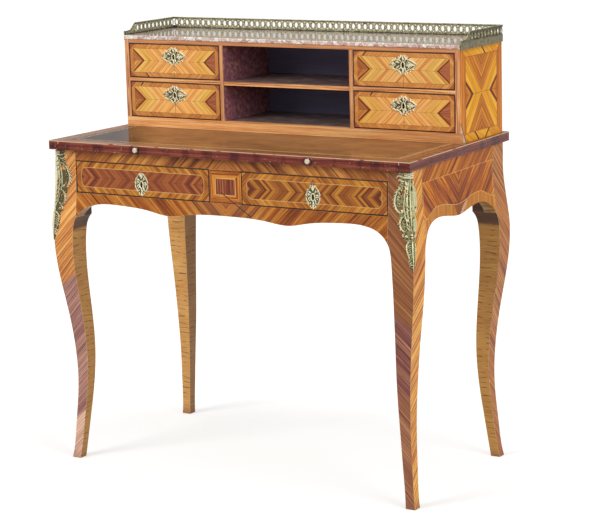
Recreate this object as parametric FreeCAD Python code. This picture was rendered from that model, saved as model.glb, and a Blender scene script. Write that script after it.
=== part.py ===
import FreeCAD, Part
import math
import os

from FreeCAD import Vector

# A Louis XV style bonheur du jour: a writing table on four cabriole legs, with two frieze drawers and
# a writing slide, and on its back an upper case with four small drawers, two open compartments, a
# marble top and a pierced brass gallery on three sides.
#
# Frame: millimetres, +Z up, the front looks along -Y, X to the right seen from the front.
# The origin is on the floor, below the middle of the whole piece.

# ---- Table: overall sizes ----
writing_height = 735.0        # floor to the writing surface
top_thickness = 20.0
top_depth = 486.0
top_width = 911.0             # along the front edge
top_taper = 14.0              # each end draws in by this much towards the back
front_overhang = 16.0         # from the frieze to the front edge
back_overhang = 16.0
side_overhang = 8.5           # from the front posts to the front corners
carcass_taper = 13.0          # from the front posts to the back posts, on each side

# ---- Frieze ----
post_width = 51.0
top_rail_height = 23.5
frieze_drawer_height = 73.0
apron_height = 26.5           # below the drawers, in the middle
apron_arch_rise = 5.0         # the arches beside the legs stand this much above the middle
apron_lobe_drop = 10.0        # the two lobes hang this much below the middle
apron_end_drop = 29.0         # the brackets at the posts reach this much below the middle
side_cusp_rise = 4.0          # the side aprons' middle and arches, against the front apron's middle
side_arch_rise = 7.0
board = 22.0                  # thickness of aprons and rails
front_rail_depth = 34.0
centre_stile_width = 80.0
ear_length = 70.0             # over which an apron swells to meet the knee of a leg
bearer_thickness = 10.0       # strips that carry the frieze drawers
bearer_reach = 16.0           # how far they reach under a drawer
guide_height = 22.0           # strips that keep them straight
guide_thickness = 14.0
SWELL_STEPS = 6               # levels at which the swell of an apron is taken from the knee

# ---- Writing slide ----
cheek_width = 25.0            # at the front corner
slide_back_gap = 64.0         # depth of the fixed back rail behind the slide
through_rail = 31.0           # the part of the back rail that runs out to both sides
lipping = 18.0                # front strip of the slide
slide_travel = 145.0
groove_setback = 28.0         # the groove in a cheek is stopped this far behind the front edge
tongue = 5.0
tongue_height = 6.0
leather_thickness = 1.2
leather_side_border = 12.0
leather_front_border = 12.0
leather_back_border = 10.0
knob_radius = 6.0
knob_reach = 8.0

# ---- Upper case ----
upper_inset = 22.5            # from the table's front corners
upper_depth = 200.0
plinth_height = 22.0
lower_drawer_height = 83.0
upper_drawer_height = 79.5
small_drawer_width = 248.0
side_panel = 12.0
partition = 10.0
divider = 8.0
shelf_thickness = 9.0
shelf_drop = 2.0              # its underside, below the dividers beside it
shelf_setback = 1.0
back_panel = 8.0
marble_thickness = 9.5
marble_overhang = 1.5         # at the front and back; flush at both sides
marble_edge_round = 2.5

# ---- Gallery ----
band_lap = 2.0                # below the marble, over the case sides
band_height = 16.5            # above the foot of the marble
gallery_height = 18.0         # above the band
gallery_sheet = 1.6
gallery_rail = 2.4            # solid strip below and above the pierced ovals
oval_pitch = 15.5
oval_width = 11.6
gallery_setback = 2.0         # its front ends, behind the marble's front edge
ramp_length = 46.0            # the swept front ends of the gallery
OVAL_FACETS = 8

# ---- Drawers and locks ----
front_thickness = 18.0
small_front_thickness = 14.0
drawer_side = 8.0
drawer_bottom = 5.0
bottom_rise = 3.0             # the bottom panel, above the lower edge of the sides
side_drop = 4.0               # the box sides, below the top of the front
back_drop = 3.0               # the box back, below the sides
front_gap = 0.8               # around a drawer front
running_gap = 0.3             # under and beside whatever slides
side_relief = 1.2             # the box is narrower than its front by this much on each side
frieze_keyhole_drop = 5.0     # below the middle of the front
small_keyhole_drop = 27.0     # below the top of the front's opening
keyhole_radius = 2.4
keyhole_slot = 2.4
keyhole_length = 8.0
lock_width = 46.0
lock_depth = 9.0
lock_below_keyhole = 12.0
bolt_width = 16.0
bolt_thickness = 4.0
bolt_height = 18.0
bolt_wall = 2.2               # lock plate in front of the bolt
bolt_travel = 5.0
bolt_play = 0.2
mortise_play = 1.0

# ---- Gilt mounts ----
chute_top_gap = 3.0
chute_height = 204.0
chute_thickness = 4.5
chute_hole = 4.0              # radius of the piercing beside the ridge
chute_hole_drop = 0.31        # its height, as a share of the chute's height from the top
chute_hole_side = 7.2         # its distance from the ridge
plate = 2.0                   # escutcheons
oval_plate_width = 38.0
oval_plate_height = 52.0
lozenge_width = 69.0
lozenge_height = 40.0
PLATE_FACETS = 24

# Cabriole template, cut alike on both outer faces of a leg: height as a share of the bracket's
# height, and offset outward from the outer face of the post, then from its inner face.
KNEE_OUTLINE = [(0.0, -2.0), (0.045, -6.0), (0.14, -10.5), (0.297, -16.5), (0.453, -15.0), (0.61, -6.5),
                (0.748, 4.0), (0.888, 10.5), (0.96, 10.0), (1.01, 7.5), (1.07, 4.0), (1.14, 0.6), (1.2, 0.0)]
INNER_OUTLINE = [(0.0, 27.0), (0.045, 24.0), (0.14, 18.0), (0.297, 8.5), (0.453, 4.0),
                 (0.61, 6.5), (0.748, 10.5), (0.87, 11.5), (0.94, 9.5), (0.98, 5.5), (1.0, 0.0)]

# Half outline of a chute, seen along the diagonal of the leg: share of its height from the top, and
# half width.
CHUTE_OUTLINE = [(0.0, 11.0), (0.06, 17.0), (0.13, 13.5), (0.22, 18.0), (0.33, 22.0), (0.42, 17.0),
                 (0.53, 17.0), (0.64, 11.0), (0.73, 12.5), (0.84, 7.5), (0.93, 4.5)]

# Swept front end of the gallery: share of the ramp's length, share of the gallery's height.
RAMP_OUTLINE = [(0.0, 0.1), (0.3, 0.17), (0.58, 0.27), (0.8, 0.7), (0.94, 0.96), (1.0, 1.0)]

# Turned knob, from its foot to its crown: share of its radius, share of its length.
KNOB_TURNING = [(0.0, 0.0), (0.62, 0.0), (0.42, 0.35), (1.0, 0.58), (0.75, 0.9), (0.0, 1.0)]

# ---- Levels and planes worked out from the sizes ----
carcass_top = writing_height - top_thickness
drawer_top = carcass_top - top_rail_height
drawer_floor = drawer_top - frieze_drawer_height
apron_middle = drawer_floor - apron_height
bracket_level = apron_middle - apron_end_drop
top_back = (top_depth + knob_reach) / 2
top_front = top_back - top_depth
frieze_front = top_front + front_overhang
frieze_back = top_back - back_overhang
top_half = top_width / 2
half_front = top_half - side_overhang
half_back = half_front - carcass_taper
front_post_end = frieze_front + post_width
back_post_start = frieze_back - post_width
slide_half = top_half - cheek_width
slide_end = top_back - slide_back_gap
back_rail_front = top_back - through_rail
groove_front = top_front + groove_setback
stile_half = centre_stile_width / 2
frieze_drawer_middle = (stile_half + half_front - post_width) / 2

upper_half = top_half - upper_inset
upper_back = frieze_back
upper_front = upper_back - upper_depth
case_floor = writing_height + plinth_height
lower_drawer_top = case_floor + lower_drawer_height
upper_drawer_floor = lower_drawer_top + divider
case_ceiling = upper_drawer_floor + upper_drawer_height
case_top = case_ceiling + divider
case_half = upper_half - side_panel
bay_half = case_half - small_drawer_width - partition
small_drawer_middle = bay_half + partition + small_drawer_width / 2
inner_back = upper_back - back_panel
marble_half = upper_half
marble_front = upper_front - marble_overhang
marble_back = upper_back + marble_overhang
marble_top_level = case_top + marble_thickness
band_low = case_top - band_lap
band_top = case_top + band_height


def box(x0, x1, y0, y1, z0, z1):
    return Part.makeBox(x1 - x0, y1 - y0, z1 - z0, Vector(x0, y0, z0))


def mirrored(shape):
    """The same piece on the other side of the middle plane."""
    return shape.mirror(Vector(0, 0, 0), Vector(1, 0, 0))


def polygon(points):
    return Part.makePolygon([*points, points[0]])


def extruded(wire, direction):
    return Part.Face(wire).extrude(direction)


def spline(points):
    curve = Part.BSplineCurve()
    curve.interpolate(points)
    return curve.toShape()


def line(a, b):
    return Part.LineSegment(a, b).toShape()


def save(node, *solids):
    shape = solids[0] if len(solids) == 1 else Part.makeCompound(list(solids))
    shape.exportStep(f"parts/{node}.step")


# ---- Legs ----

def half_width_at(y):
    """Outer plane of the carcass side: it draws in from the front posts to the back posts."""
    share = (y - front_post_end) / (back_post_start - front_post_end)
    return half_front + (half_back - half_front) * min(max(share, 0.0), 1.0)


def template(grow=0.0):
    """Face of the cabriole template in (offset, height), as points for the two splines."""
    outer = [(offset + grow, share * bracket_level) for share, offset in KNEE_OUTLINE]
    inner = [(offset - post_width - grow, share * bracket_level) for share, offset in INNER_OUTLINE]
    return outer, inner


def template_prism(to_point, direction, grow):
    """The template as a prism: to_point puts (offset, height) in space."""
    outer, inner = template(grow)
    post_out = to_point(grow, carcass_top)
    post_in = to_point(-post_width - grow, carcass_top)
    outer = [to_point(*p) for p in outer]
    inner = [to_point(*p) for p in inner]
    edges = [spline(outer), line(outer[-1], post_out), line(post_out, post_in), line(post_in, inner[-1]),
             spline(inner[::-1]), line(inner[0], outer[0])]
    return extruded(Part.Wire(edges), direction)


def leg(half, face_y, outward_y, grow=0.0):
    """A right-hand leg: the same template cut across X and across Y leaves a square section with a
    ridge on its outer corner."""
    reach = 2 * post_width
    across_y = template_prism(lambda offset, z: Vector(half + offset, face_y - outward_y * reach, z),
                              Vector(0, outward_y * 2 * reach, 0), grow)
    across_x = template_prism(lambda offset, z: Vector(half - reach, face_y + outward_y * offset, z),
                              Vector(2 * reach, 0, 0), grow)
    return across_y.common(across_x)


def chute():
    """Right-hand corner mount: a thin leafy plate that follows the knee of the front leg."""
    inner_leg = leg(half_front, frieze_front, -1, running_gap)
    outer_leg = leg(half_front, frieze_front, -1, running_gap + chute_thickness)
    shell = outer_leg.cut(inner_leg)
    top = carcass_top - chute_top_gap
    ridge = Vector(half_front, frieze_front, 0)
    across = Vector(1, 1, 0).normalize()
    view = Vector(-1, 1, 0).normalize()
    start = ridge - view * post_width
    depth = 1.6 * post_width      # from outside the knee to short of the aprons behind the post

    def at(share, half_outline):
        return start + across * half_outline + Vector(0, 0, top - share * chute_height)

    right = [at(*p) for p in CHUTE_OUTLINE] + [at(1.0, 0.0)]
    left = [at(share, -width) for share, width in CHUTE_OUTLINE] + [at(1.0, 0.0)]
    outline = Part.Wire([spline(right), spline(left[::-1]), line(left[0], right[0])])
    leaf = extruded(outline, view * depth)
    hole = Part.makeCylinder(chute_hole, depth, at(chute_hole_drop, -chute_hole_side), view)
    return shell.common(leaf).cut(hole)


# ---- Frieze ----

def swell_edge(to_point, share, z0):
    """The outer line of an apron's section from z0 to the carcass top, swollen by a share of the
    template's offset."""
    curve = Part.BSplineCurve()
    curve.interpolate([Vector(offset, height * bracket_level, 0) for height, offset in KNEE_OUTLINE])
    levels = [z0 + (carcass_top - z0) * step / SWELL_STEPS for step in range(SWELL_STEPS + 1)]
    far = 2 * post_width
    points = []
    for level in levels:
        offset = 0.0
        if level < KNEE_OUTLINE[-1][0] * bracket_level:
            cut = curve.intersectCC(Part.LineSegment(Vector(-far, level, 0), Vector(far, level, 0)))
            offset = cut[0].X
        points.append(to_point(offset * share, level))
    return spline(points)


def apron_blank(stations, z0):
    """Board between two posts. A station is (to_point, share of the knee's swell, board thickness)."""
    wires = []
    for to_point, share in stations:
        front = swell_edge(to_point, share, z0)
        top_out = to_point(0.0, carcass_top)
        top_in = to_point(-board, carcass_top)
        low_in = to_point(-board, z0)
        low_out = front.Vertexes[0].Point
        inside = line(top_in, low_in)
        wires.append(Part.Wire([front, line(top_out, top_in), inside, line(low_in, low_out)]))
    parts = [Part.makeLoft([a, b], True, True) for a, b in zip(wires, wires[1:])]
    return parts[0].fuse(parts[1:]).removeSplitter()


def long_edge(half):
    """Half of the lower edge of the front or back apron, from the post to the middle."""
    arch = apron_middle + apron_arch_rise
    lobe = apron_middle - apron_lobe_drop
    return [(half, bracket_level), (half - 10, bracket_level + 12), (half - 28, bracket_level + 24),
            (0.87 * half, arch - 3.0), (0.79 * half, arch), (0.68 * half, arch - 1.0),
            (0.5 * half, (arch + 2 * lobe) / 3 + 2.0), (0.4 * half, lobe), (0.25 * half, apron_middle - 4.5),
            (0.08 * half, apron_middle - 0.5)]


def side_edge(half):
    """Half of the lower edge of a side apron: one arch, then a soft cusp in the middle."""
    cusp = apron_middle - side_cusp_rise
    arch = apron_middle + side_arch_rise
    return [(half, bracket_level), (half - 9, bracket_level + 12), (half - 24, bracket_level + 24),
            (0.7 * half, arch - 2.0), (0.54 * half, arch), (0.32 * half, arch - 4.0),
            (0.12 * half, cusp + 1.5), (0.0, cusp)]


def lower_space(points, centre, to_point, direction):
    """Everything below a symmetrical lower edge, as a cutter."""
    half = points[0][0]
    run = [(centre + across, z) for across, z in points]
    run += [(centre - across, z) for across, z in reversed(points) if across > 0]
    run = [to_point(*p) for p in run]
    low_right = to_point(centre + half, bracket_level - board)
    low_left = to_point(centre - half, bracket_level - board)
    low = line(low_left, low_right)
    wire = Part.Wire([spline(run), line(run[-1], low_left), low, line(low_right, run[0])])
    return extruded(wire, direction)


def front_apron():
    half = half_front - post_width
    faces = [(half, 1.0), (half - ear_length, 0.0), (ear_length - half, 0.0), (-half, 1.0)]
    stations = [(lambda offset, z, x=x: Vector(x, frieze_front - offset, z), share) for x, share in faces]
    blank = apron_blank(stations, bracket_level)
    space = lower_space(long_edge(half), 0.0, lambda x, z: Vector(x, frieze_front - board, z),
                        Vector(0, 3 * board, 0))
    above = box(-half, half, frieze_front - board, frieze_front + 2 * board, drawer_floor, carcass_top + 1)
    return blank.cut(space).cut(above)


def back_apron():
    half = half_back - post_width
    faces = [(-half, 1.0), (ear_length - half, 0.0), (half - ear_length, 0.0), (half, 1.0)]
    stations = [(lambda offset, z, x=x: Vector(x, frieze_back + offset, z), share) for x, share in faces]
    blank = apron_blank(stations, bracket_level)
    space = lower_space(long_edge(half), 0.0, lambda x, z: Vector(x, frieze_back - 2 * board, z),
                        Vector(0, 3 * board, 0))
    return blank.cut(space)


def side_apron():
    """Right-hand side."""
    middle = (front_post_end + back_post_start) / 2
    half = (back_post_start - front_post_end) / 2
    faces = [(front_post_end, 1.0), (front_post_end + ear_length, 0.0),
             (back_post_start - ear_length, 0.0), (back_post_start, 1.0)]
    stations = [(lambda offset, z, y=y: Vector(half_width_at(y) + offset, y, z), share)
                for y, share in faces]
    blank = apron_blank(stations, bracket_level)
    space = lower_space(side_edge(half), middle, lambda y, z: Vector(half_back - 2 * board, y, z),
                        Vector(4 * board, 0, 0))
    return blank.cut(space)


def mortise(x, y_front, thickness, z_low):
    """Hole in the rail over a drawer that takes the lock's bolt."""
    y = y_front + thickness + bolt_wall
    return box(x - bolt_width / 2 - mortise_play, x + bolt_width / 2 + mortise_play,
               y - mortise_play, y + bolt_thickness + mortise_play,
               z_low - mortise_play, z_low + bolt_travel)


def top_rail():
    half = half_front - post_width
    rail = box(-half, half, frieze_front, frieze_front + front_rail_depth, drawer_top, carcass_top)
    for side in (-1, 1):
        rail = rail.cut(mortise(side * frieze_drawer_middle, frieze_front, front_thickness, drawer_top))
    return rail


def runners():
    """Bearers, guides and kickers that carry the two frieze drawers."""
    y0 = frieze_front + board
    y1 = frieze_back - board
    kick0 = frieze_front + front_rail_depth
    opening_end = half_front - post_width
    bearer_low = drawer_floor - bearer_thickness
    guide_top = drawer_floor + guide_height
    reach = stile_half + bearer_reach
    solids = []

    def side_strip(x0, z0, z1, ya):
        """From x0 out to the inside of the side apron, between the posts."""
        outline = [Vector(x0, ya, z0), Vector(x0, back_post_start, z0),
                   Vector(half_width_at(back_post_start) - board, back_post_start, z0),
                   Vector(half_width_at(ya) - board, ya, z0)]
        return extruded(polygon(outline), Vector(0, 0, z1 - z0))

    side = [side_strip(opening_end - bearer_reach, bearer_low, drawer_floor, front_post_end),
            side_strip(opening_end, drawer_floor, guide_top, front_post_end),
            side_strip(opening_end - bearer_reach, drawer_top, carcass_top, front_post_end)]
    for piece in side:
        solids += [piece, mirrored(piece)]
    middle_guide = box(stile_half - guide_thickness, stile_half, y0, y1, drawer_floor, guide_top)
    solids += [middle_guide, mirrored(middle_guide)]
    solids.append(box(-reach, reach, y0, y1, bearer_low, drawer_floor))
    solids.append(box(-reach, reach, kick0, y1, drawer_top, carcass_top))
    return solids


# ---- Table top: slide, cheeks and back rail, all cut from one outline ----

def top_blank(z0, z1):
    back_half = top_half - top_taper
    outline = polygon([Vector(-top_half, top_front, z0), Vector(top_half, top_front, z0),
                       Vector(back_half, top_back, z0), Vector(-back_half, top_back, z0)])
    return extruded(outline, Vector(0, 0, z1 - z0))


def table_frame():
    """Two cheeks and the back rail that joins them. Each cheek has a groove for the slide's tongue,
    stopped short of the front so that the slide can't be pulled out."""
    blank = top_blank(carcass_top, writing_height)
    wide = top_half
    tongue_z = (carcass_top + writing_height) / 2
    cheek = blank.common(box(slide_half, wide, top_front, back_rail_front, carcass_top, writing_height))
    groove = box(slide_half - 1, slide_half + tongue + running_gap, groove_front, back_rail_front + 1,
                 tongue_z - tongue_height / 2 - running_gap, tongue_z + tongue_height / 2 + running_gap)
    cheek = cheek.cut(groove)
    rail = blank.common(box(-wide, wide, back_rail_front, top_back, carcass_top, writing_height))
    inner = box(-slide_half, slide_half, slide_end, back_rail_front, carcass_top, writing_height)
    return [cheek, mirrored(cheek), rail.fuse(inner).removeSplitter()]


def slide_levels():
    return carcass_top + running_gap, writing_height - running_gap


def slide_panel():
    z0, z1 = slide_levels()
    half = slide_half - running_gap
    middle = (z0 + z1) / 2
    y0 = top_front + lipping
    y1 = slide_end - running_gap
    panel = box(-half, half, y0, y1, z0, z1)
    strip = box(-half - tongue, half + tongue, groove_front + slide_travel + running_gap, y1,
                middle - tongue_height / 2, middle + tongue_height / 2)
    return panel.fuse(strip).removeSplitter().cut(leather_sheet())


def leather_sheet():
    z1 = slide_levels()[1]
    y0 = top_front + lipping + leather_front_border
    y1 = slide_end - running_gap - leather_back_border
    half = slide_half - leather_side_border
    return box(-half, half, y0, y1, z1 - leather_thickness, z1)


def slide_lipping():
    z0, z1 = slide_levels()
    half = slide_half - running_gap
    return top_blank(z0, z1).common(box(-half, half, top_front - 1, top_front + lipping, z0, z1))


def knob(x):
    """Turned brass knob on the slide's lipping: a collar, a neck and a domed head."""
    z = (carcass_top + writing_height) / 2
    profile = [Vector(radius * knob_radius, -reach * knob_reach, 0) for radius, reach in KNOB_TURNING]
    solid = Part.Face(polygon(profile)).revolve(Vector(0, 0, 0), Vector(0, 1, 0), 360)
    solid.translate(Vector(x, top_front, z))
    return solid


# ---- Upper case ----

def upper_side():
    """Right-hand side, lapped over the end of the plinth rail."""
    x = case_half
    outline = [Vector(x, upper_front, case_floor), Vector(x, upper_front, case_top),
               Vector(x, upper_back, case_top), Vector(x, upper_back, writing_height),
               Vector(x, upper_front + side_panel, writing_height),
               Vector(x, upper_front + side_panel, case_floor)]
    return extruded(polygon(outline), Vector(side_panel, 0, 0))


def with_mortises(shelf, z_low):
    for side in (-1, 1):
        x = side * small_drawer_middle
        shelf = shelf.cut(mortise(x, upper_front, small_front_thickness, z_low))
    return shelf


def marble():
    slab = box(-marble_half, marble_half, marble_front, marble_back, case_top, marble_top_level)
    near = 0.01
    in_front = [e for e in slab.Edges if e.BoundBox.YMax < marble_front + near]
    level = [e for e in in_front if e.BoundBox.ZMax < e.BoundBox.ZMin + near]
    return slab.makeFillet(marble_edge_round, level)


def oval_hole(centre, across, through):
    """Cutter for one upright oval, in short straight facets, through a sheet."""
    half_height = gallery_height / 2 - gallery_rail
    points = []
    for i in range(OVAL_FACETS):
        angle = 2 * math.pi * (i + 0.5) / OVAL_FACETS
        points.append(centre + across * (oval_width / 2 * math.cos(angle))
                      + Vector(0, 0, half_height * math.sin(angle)))
    return extruded(polygon(points), through)


def pierced(sheet, origin, across, length, through):
    """The sheet with a row of upright ovals cut through it."""
    count = int(length // oval_pitch)
    pitch = length / count
    level = Vector(0, 0, band_top + gallery_height / 2)
    ovals = [oval_hole(origin + level + across * ((i + 0.5) * pitch), across, through)
             for i in range(count)]
    return sheet.cut(Part.makeCompound(ovals))


def gallery():
    """Band and pierced wall on the back and on both sides. Each side wall sweeps down at its front."""
    sheet = gallery_sheet
    top = band_top + gallery_height
    back_y = marble_back
    wall = box(-marble_half, marble_half, back_y, back_y + sheet, band_top, top)
    back_wall = pierced(wall, Vector(-marble_half + oval_pitch / 2, back_y - 1, 0), Vector(1, 0, 0),
                        2 * marble_half - oval_pitch, Vector(0, sheet + 2, 0))
    back_band = box(-marble_half, marble_half, back_y, back_y + sheet, band_low, band_top)
    front = marble_front + gallery_setback
    side_band = box(marble_half, marble_half + sheet, front, back_y + sheet, band_low, band_top)
    x = marble_half
    ramp_top = front + ramp_length
    sweep = [Vector(x, front + run * ramp_length, band_top + rise * gallery_height)
             for run, rise in RAMP_OUTLINE]
    low_front = Vector(x, front, band_top)
    low_back = Vector(x, back_y + sheet, band_top)
    high_back = Vector(x, back_y + sheet, top)
    edges = [line(low_front, sweep[0]), spline(sweep), line(sweep[-1], high_back),
             line(high_back, low_back), line(low_back, low_front)]
    side_wall = extruded(Part.Wire(edges), Vector(sheet, 0, 0))
    side_wall = pierced(side_wall, Vector(x - 1, ramp_top, 0), Vector(0, 1, 0),
                        back_y - ramp_top, Vector(sheet + 2, 0, 0))
    return [back_wall, back_band, side_wall, mirrored(side_wall), side_band, mirrored(side_band)]


# ---- Drawers ----

def keyhole(x, y0, y1, z):
    """Cutter for a round hole with a slot below it."""
    round_hole = Part.makeCylinder(keyhole_radius, y1 - y0, Vector(x, y0, z), Vector(0, 1, 0))
    slot = box(x - keyhole_slot / 2, x + keyhole_slot / 2, y0, y1, z - keyhole_length, z)
    return round_hole.fuse(slot)


def plate_outline(middle, width, height, swell):
    """Closed outline round a keyhole. swell(angle) is the share of the plain oval's radius."""
    points = []
    for i in range(PLATE_FACETS):
        angle = 2 * math.pi * i / PLATE_FACETS
        share = swell(angle)
        points.append(middle + Vector(width / 2 * share * math.cos(angle), 0,
                                      height / 2 * share * math.sin(angle)))
    return polygon(points)


def oval_outline(middle):
    """Upright rocaille oval with eight soft lobes."""
    return plate_outline(middle, oval_plate_width, oval_plate_height,
                         lambda angle: 1 - 0.06 * math.sin(4 * angle) ** 2)


def lozenge_outline(middle):
    """Wide rocaille lozenge with scrolled shoulders."""
    return plate_outline(middle, lozenge_width, lozenge_height,
                         lambda angle: 1 - 0.2 * math.sin(2 * angle) ** 2 - 0.05 * math.sin(6 * angle) ** 2)


def drawer(name, x0, x1, y_front, y_end, z0, z1, thickness, key_z, outline):
    """One drawer in the opening x0..x1, z0..z1: front, box, escutcheon, lock and bolt."""
    middle = (x0 + x1) / 2
    inside = y_front + thickness
    hole = keyhole(middle, y_front - 2 * plate, inside + bolt_wall, key_z)
    front_top = z1 - front_gap
    front = box(x0 + front_gap, x1 - front_gap, y_front, inside, z0 + front_gap, front_top)
    save(f"{name}_front", front.cut(hole))

    left = x0 + front_gap + side_relief
    right = x1 - front_gap - side_relief
    low = z0 + running_gap
    high = front_top - side_drop
    rear = y_end - running_gap
    bottom_z = low + bottom_rise
    sides = [box(left, left + drawer_side, inside, rear, low, high),
             box(right - drawer_side, right, inside, rear, low, high)]
    back = box(left + drawer_side, right - drawer_side, rear - drawer_side, rear, low, high - back_drop)
    bottom = box(left + drawer_side, right - drawer_side, inside, rear - drawer_side,
                 bottom_z, bottom_z + drawer_bottom)
    save(f"{name}_box", *sides, back, bottom)

    escutcheon = extruded(outline(Vector(middle, y_front - plate, key_z)), Vector(0, plate, 0))
    save(f"{name}_escutcheon", escutcheon.cut(hole))

    case_low = key_z - lock_below_keyhole
    case = box(middle - lock_width / 2, middle + lock_width / 2, inside, inside + lock_depth,
               case_low, front_top)
    bolt_y = inside + bolt_wall
    bolt_low = front_top - bolt_height
    channel = box(middle - bolt_width / 2 - bolt_play, middle + bolt_width / 2 + bolt_play,
                  bolt_y - bolt_play, bolt_y + bolt_thickness + bolt_play,
                  bolt_low - bolt_play, front_top + 1)
    save(f"{name}_lock_case", case.cut(channel).cut(hole))
    save(f"{name}_lock_bolt", box(middle - bolt_width / 2, middle + bolt_width / 2, bolt_y,
                                  bolt_y + bolt_thickness, bolt_low, front_top - bolt_play))


def frieze_drawers():
    opening = half_front - post_width
    key_z = (drawer_floor + drawer_top) / 2 - frieze_keyhole_drop
    for side, x0, x1 in (("left", -opening, -stile_half), ("right", stile_half, opening)):
        drawer(f"frieze_drawer_{side}", x0, x1, frieze_front, back_post_start, drawer_floor, drawer_top,
               front_thickness, key_z, oval_outline)


def small_drawers():
    rows = (("lower", case_floor, lower_drawer_top), ("upper", upper_drawer_floor, case_ceiling))
    sides = (("left", -case_half, -bay_half - partition), ("right", bay_half + partition, case_half))
    for row, z0, z1 in rows:
        for side, x0, x1 in sides:
            drawer(f"{row}_drawer_{side}", x0, x1, upper_front, inner_back, z0, z1,
                   small_front_thickness, z1 - small_keyhole_drop, lozenge_outline)


# ---- Build ----

def build_table():
    front_leg = leg(half_front, frieze_front, -1)
    back_leg = leg(half_back, frieze_back, 1)
    save("leg_front_right", front_leg)
    save("leg_front_left", mirrored(front_leg))
    save("leg_back_right", back_leg)
    save("leg_back_left", mirrored(back_leg))
    right_chute = chute()
    save("chute_right", right_chute)
    save("chute_left", mirrored(right_chute))
    save("front_apron", front_apron())
    save("back_apron", back_apron())
    right_apron = side_apron()
    save("side_apron_right", right_apron)
    save("side_apron_left", mirrored(right_apron))
    save("front_top_rail", top_rail())
    save("front_centre_stile", box(-stile_half, stile_half, frieze_front, frieze_front + board,
                                   drawer_floor, drawer_top))
    save("drawer_runners", *runners())
    save("table_top_frame", *table_frame())
    save("writing_slide", slide_panel())
    save("slide_leather", leather_sheet())
    save("slide_lipping", slide_lipping())
    right_knob = knob(frieze_drawer_middle)
    save("slide_knobs", right_knob, mirrored(right_knob))


def build_upper_case():
    right_side = upper_side()
    save("upper_side_right", right_side)
    save("upper_side_left", mirrored(right_side))
    save("upper_plinth_rail", box(-upper_half, upper_half, upper_front, upper_front + side_panel,
                                  writing_height, case_floor))
    save("upper_bottom_board", box(-case_half, case_half, upper_front + side_panel, inner_back,
                                   case_floor - partition, case_floor))
    upright = box(bay_half, bay_half + partition, upper_front, inner_back, case_floor, case_ceiling)
    save("upper_partitions", upright, mirrored(upright))
    shelf_low = lower_drawer_top - shelf_drop
    save("upper_shelf", box(-bay_half, bay_half, upper_front + shelf_setback, inner_back,
                            shelf_low, shelf_low + shelf_thickness))
    right_divider = box(bay_half + partition, case_half, upper_front, inner_back,
                        lower_drawer_top, upper_drawer_floor)
    right_divider = right_divider.cut(mortise(small_drawer_middle, upper_front, small_front_thickness,
                                              lower_drawer_top))
    save("upper_dividers", right_divider, mirrored(right_divider))
    save("upper_back", box(-case_half, case_half, inner_back, upper_back, writing_height, case_ceiling))
    save("upper_top_board", with_mortises(box(-case_half, case_half, upper_front, upper_back,
                                              case_ceiling, case_top), case_ceiling))
    save("marble_top", marble())
    save("gallery", *gallery())


os.makedirs("parts", exist_ok=True)
build_table()
build_upper_case()
frieze_drawers()
small_drawers()
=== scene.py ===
import math

import bmesh
import bpy
from mathutils import Matrix, Vector
from mathutils.bvhtree import BVHTree


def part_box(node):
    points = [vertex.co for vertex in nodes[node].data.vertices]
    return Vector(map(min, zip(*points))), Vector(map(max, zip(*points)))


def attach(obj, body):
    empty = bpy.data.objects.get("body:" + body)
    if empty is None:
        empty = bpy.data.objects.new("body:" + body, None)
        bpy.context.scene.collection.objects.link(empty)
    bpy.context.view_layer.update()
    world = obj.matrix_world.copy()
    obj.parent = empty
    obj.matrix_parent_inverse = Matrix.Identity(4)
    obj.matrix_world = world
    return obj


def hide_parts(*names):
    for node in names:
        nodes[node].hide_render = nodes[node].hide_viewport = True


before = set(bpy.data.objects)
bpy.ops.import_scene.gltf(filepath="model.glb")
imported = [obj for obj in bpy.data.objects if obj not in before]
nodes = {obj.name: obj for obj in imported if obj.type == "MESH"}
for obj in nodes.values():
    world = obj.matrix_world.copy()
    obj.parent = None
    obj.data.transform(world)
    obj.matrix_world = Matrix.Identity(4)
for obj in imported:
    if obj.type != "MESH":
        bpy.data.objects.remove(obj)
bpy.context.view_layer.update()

# A Louis XV style bonheur du jour in tulipwood and kingwood veneer, with gilt-brass mounts.
# Sizes below are millimetres in the part's own frame: X right, Y back, Z up, origin on the floor.
MM = 0.001


def extent(node):
    """Lowest and highest corner of a CAD node, in millimetres."""
    low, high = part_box(node)
    return low / MM, high / MM


def span(node):
    """Middle and half size of a CAD node, in millimetres."""
    low, high = extent(node)
    return (low + high) / 2, (high - low) / 2


def rgb(red, green, blue):
    """A display colour, each channel 0 to 255, as the linear colour that a shader takes."""
    return tuple((c / 255) ** 2.2 for c in (red, green, blue)) + (1.0,)


# ---- Shader nodes and expressions ----

def empty_tree(owner):
    """The node tree of a material or world, without nodes."""
    owner.use_nodes = True
    owner.node_tree.nodes.clear()
    return owner.node_tree


def add_node(tree, kind, inputs=(), **settings):
    """Adds a node; inputs are pairs of a socket's key and a value, or a socket to link."""
    node = tree.nodes.new(kind)
    for key, value in settings.items():
        setattr(node, key, value)
    for key, value in inputs:
        if isinstance(value, bpy.types.NodeSocket):
            tree.links.new(value, node.inputs[key])
        else:
            node.inputs[key].default_value = value
    return node


class Field:
    """A number or colour that varies over a surface. Arithmetic on it adds nodes to its material."""

    def __init__(self, surface, socket):
        self.surface = surface
        self.socket = socket

    def __add__(self, other):
        return calc("ADD", self, other)

    __radd__ = __add__

    def __sub__(self, other):
        return calc("SUBTRACT", self, other)

    def __rsub__(self, other):
        return calc("SUBTRACT", other, self)

    def __mul__(self, other):
        return calc("MULTIPLY", self, other)

    __rmul__ = __mul__

    def __truediv__(self, other):
        return calc("DIVIDE", self, other)

    def __abs__(self):
        return calc("ABSOLUTE", self)


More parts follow.
